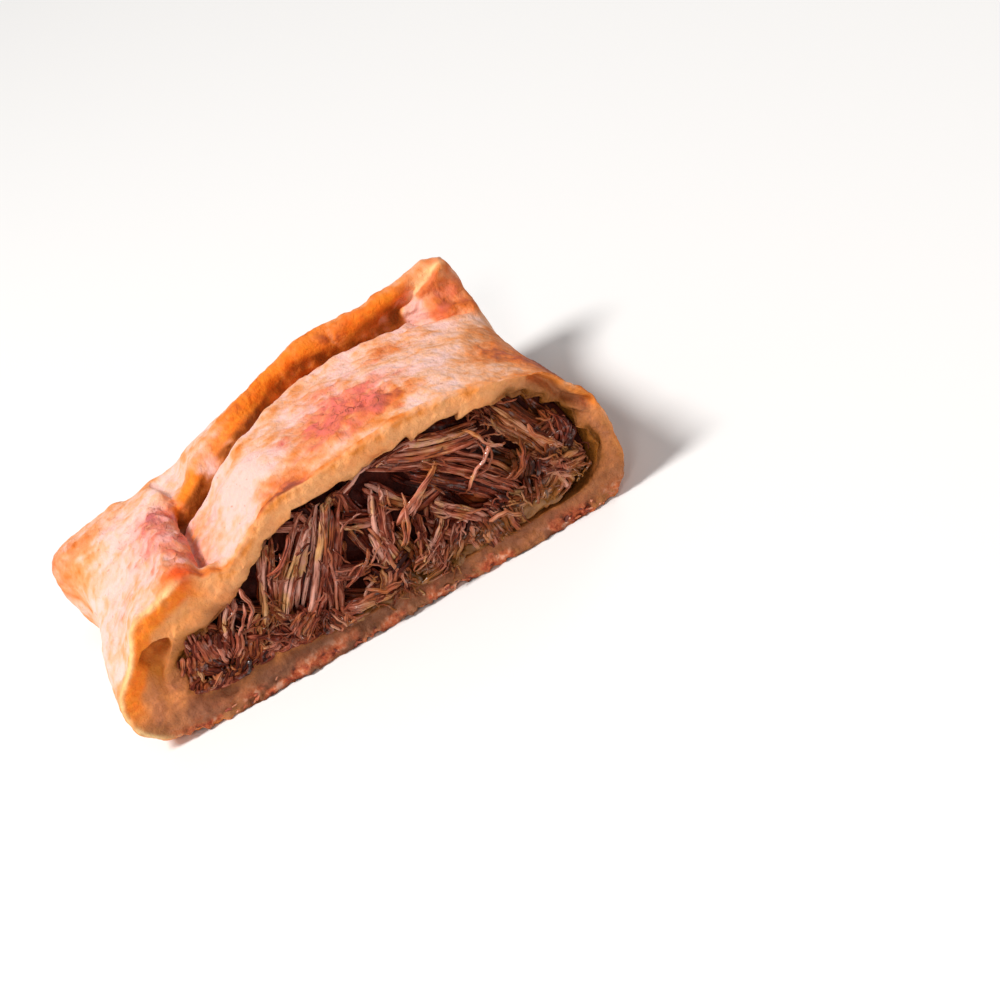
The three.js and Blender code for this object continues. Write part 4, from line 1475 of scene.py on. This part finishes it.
def makeCrumbs():
    rng = np.random.default_rng(crumbForm["seed"])
    low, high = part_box("crust")
    bm = bmesh.new()
    baked = []
    made = 0
    while made < crumbForm["count"]:
        x = rng.uniform(low.x / mm + crumbForm["ends"][0], high.x / mm - crumbForm["ends"][1])
        z = 0.5 + abs(rng.normal(0, 0.9))
        near = frontHit(crustTree, x, z)
        if near is None or near.y > 0.5:
            continue
        size = rng.uniform(*crumbForm["size"])
        turn = Matrix.Rotation(rng.normal(0, 0.5), 4, "Y") @ Matrix.Rotation(rng.uniform(-0.6, 0.6), 4, "X")
        sides = (rng.uniform(1.0, 2.2), 0.45, rng.uniform(0.5, 0.9), 1 / (size * mm))
        stretch = Matrix.Diagonal(sides) * (size * mm)
        place = Matrix.Translation(Vector((x, cutY + 0.1, z)) * mm)
        grown = bmesh.ops.create_icosphere(bm, subdivisions=1, radius=1, matrix=place @ turn @ stretch)
        for vert in grown["verts"]:
            vert.co += Vector(rng.uniform(-crumbForm["uneven"], crumbForm["uneven"], 3)) * size * mm
        baked += [rng.uniform(0.2, 1.0)] * len(grown["verts"])
        made += 1
    for vert in bm.verts:
        vert.co.z = max(vert.co.z, 0.05 * mm)
    piece = pieceFrom("crumbs", bm)
    paintAttribute(piece.data, "browning", np.array(baked))
    material, tree, shader = newMaterial("toastedCrumb")
    mask, fine = patchy(tree, objectCoords(tree), 2.5, 0.7)
    tone = varied(tree, attributeOf(tree, "browning"), mask, 0.15)
    setInputs(tree, shader, {
        "Base Color": colorRamp(tree, tone, crumbForm["tones"]),
        "Roughness": 0.45,
        "Normal": bump(tree, fine, 0.15),
    })
    piece.data.materials.append(material)
    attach(piece, "root")
    report(piece)


# Studio: camera, light and floor

photoView = {
    "azimuth": -5.0,
    "elevation": 28.0,
    "roll": 27.3,  # the camera leans, as the half does in the photo
    "distance": 504.0,
    "lens": 100.8,
    "sensor": 36.0,
    "aim": (1.7, 0.0, 13.5),  # a point of the cut face, and where it stands in the picture
    "aimPixel": (368.9, 564.5),
    "imageSize": 1000,
}


def makeCamera():
    azimuth, elevation, roll = (math.radians(photoView[name]) for name in ("azimuth", "elevation", "roll"))
    level = Vector((math.cos(azimuth), math.sin(azimuth), 0))
    toCamera = Vector((
        math.sin(azimuth) * math.cos(elevation),
        -math.cos(azimuth) * math.cos(elevation),
        math.sin(elevation),
    ))
    upright = toCamera.cross(level)
    right = level * math.cos(roll) - upright * math.sin(roll)
    up = level * math.sin(roll) + upright * math.cos(roll)
    half = photoView["imageSize"] / 2
    focal = photoView["lens"] / photoView["sensor"] * photoView["imageSize"]
    sideways = (photoView["aimPixel"][0] - half) / focal
    upwards = (half - photoView["aimPixel"][1]) / focal
    aim = Vector(photoView["aim"]) + Vector((0, cutY, 0))
    place = aim - photoView["distance"] * (right * sideways + up * upwards - toCamera)
    data = bpy.data.cameras.new("camera")
    data.lens = photoView["lens"]
    data.sensor_width = photoView["sensor"]
    data.clip_start = 0.01
    camera = newPiece("camera", data)
    turn = Matrix((right, up, toCamera)).transposed().to_4x4()
    camera.matrix_world = Matrix.Translation(place * mm) @ turn
    bpy.context.scene.camera = camera


# Lights: from which way, distance and size in metres, power, colour
studioLights = {
    "key": ((-0.56, -0.16, 0.82), 1.6, 0.5, 27, (1.0, 0.97, 0.94)),
    "front": ((-0.2, -0.80, 0.55), 1.2, 0.20, 2.5, (1.0, 0.96, 0.93)),
    "rim": ((0.60, 0.65, 0.45), 1.4, 0.6, 2.0, (1.0, 1.0, 1.0)),
}
studioForm = {"lightAim": (0, 0, 0.015), "daylight": 0.28, "floorSize": 4, "floor": (0.86, 0.86, 0.86, 1)}


def makeStudio():
    scene = bpy.context.scene
    scene.view_settings.view_transform = "Standard"
    for name, (way, distance, size, power, color) in studioLights.items():
        data = bpy.data.lights.new(name, "AREA")
        data.shape = "DISK"
        data.size = size
        data.energy = power
        data.color = color
        light = newPiece(name, data)
        way = Vector(way).normalized()
        light.location = way * distance + Vector(studioForm["lightAim"])
        light.rotation_euler = way.to_track_quat("Z", "Y").to_euler()
    world = bpy.data.worlds.new("studio")
    world.use_nodes = True
    sky = world.node_tree.nodes["Background"]
    setInputs(world.node_tree, sky, {"Color": (1, 1, 1, 1), "Strength": studioForm["daylight"]})
    scene.world = world
    bm = bmesh.new()
    bmesh.ops.create_grid(bm, x_segments=1, y_segments=1, size=studioForm["floorSize"])
    floor = pieceFrom("floor", bm)
    material, tree, shader = newMaterial("paleFloor")
    setInputs(tree, shader, {"Base Color": studioForm["floor"], "Roughness": 0.9, "Specular IOR Level": 0.1})
    floor.data.materials.append(material)


makeCamera()
makeStudio()
print("studio ready")
makeCrust()
makeCore()
makeBeef()
makeGravy()
makeCrumbs()
print("pieces ready")
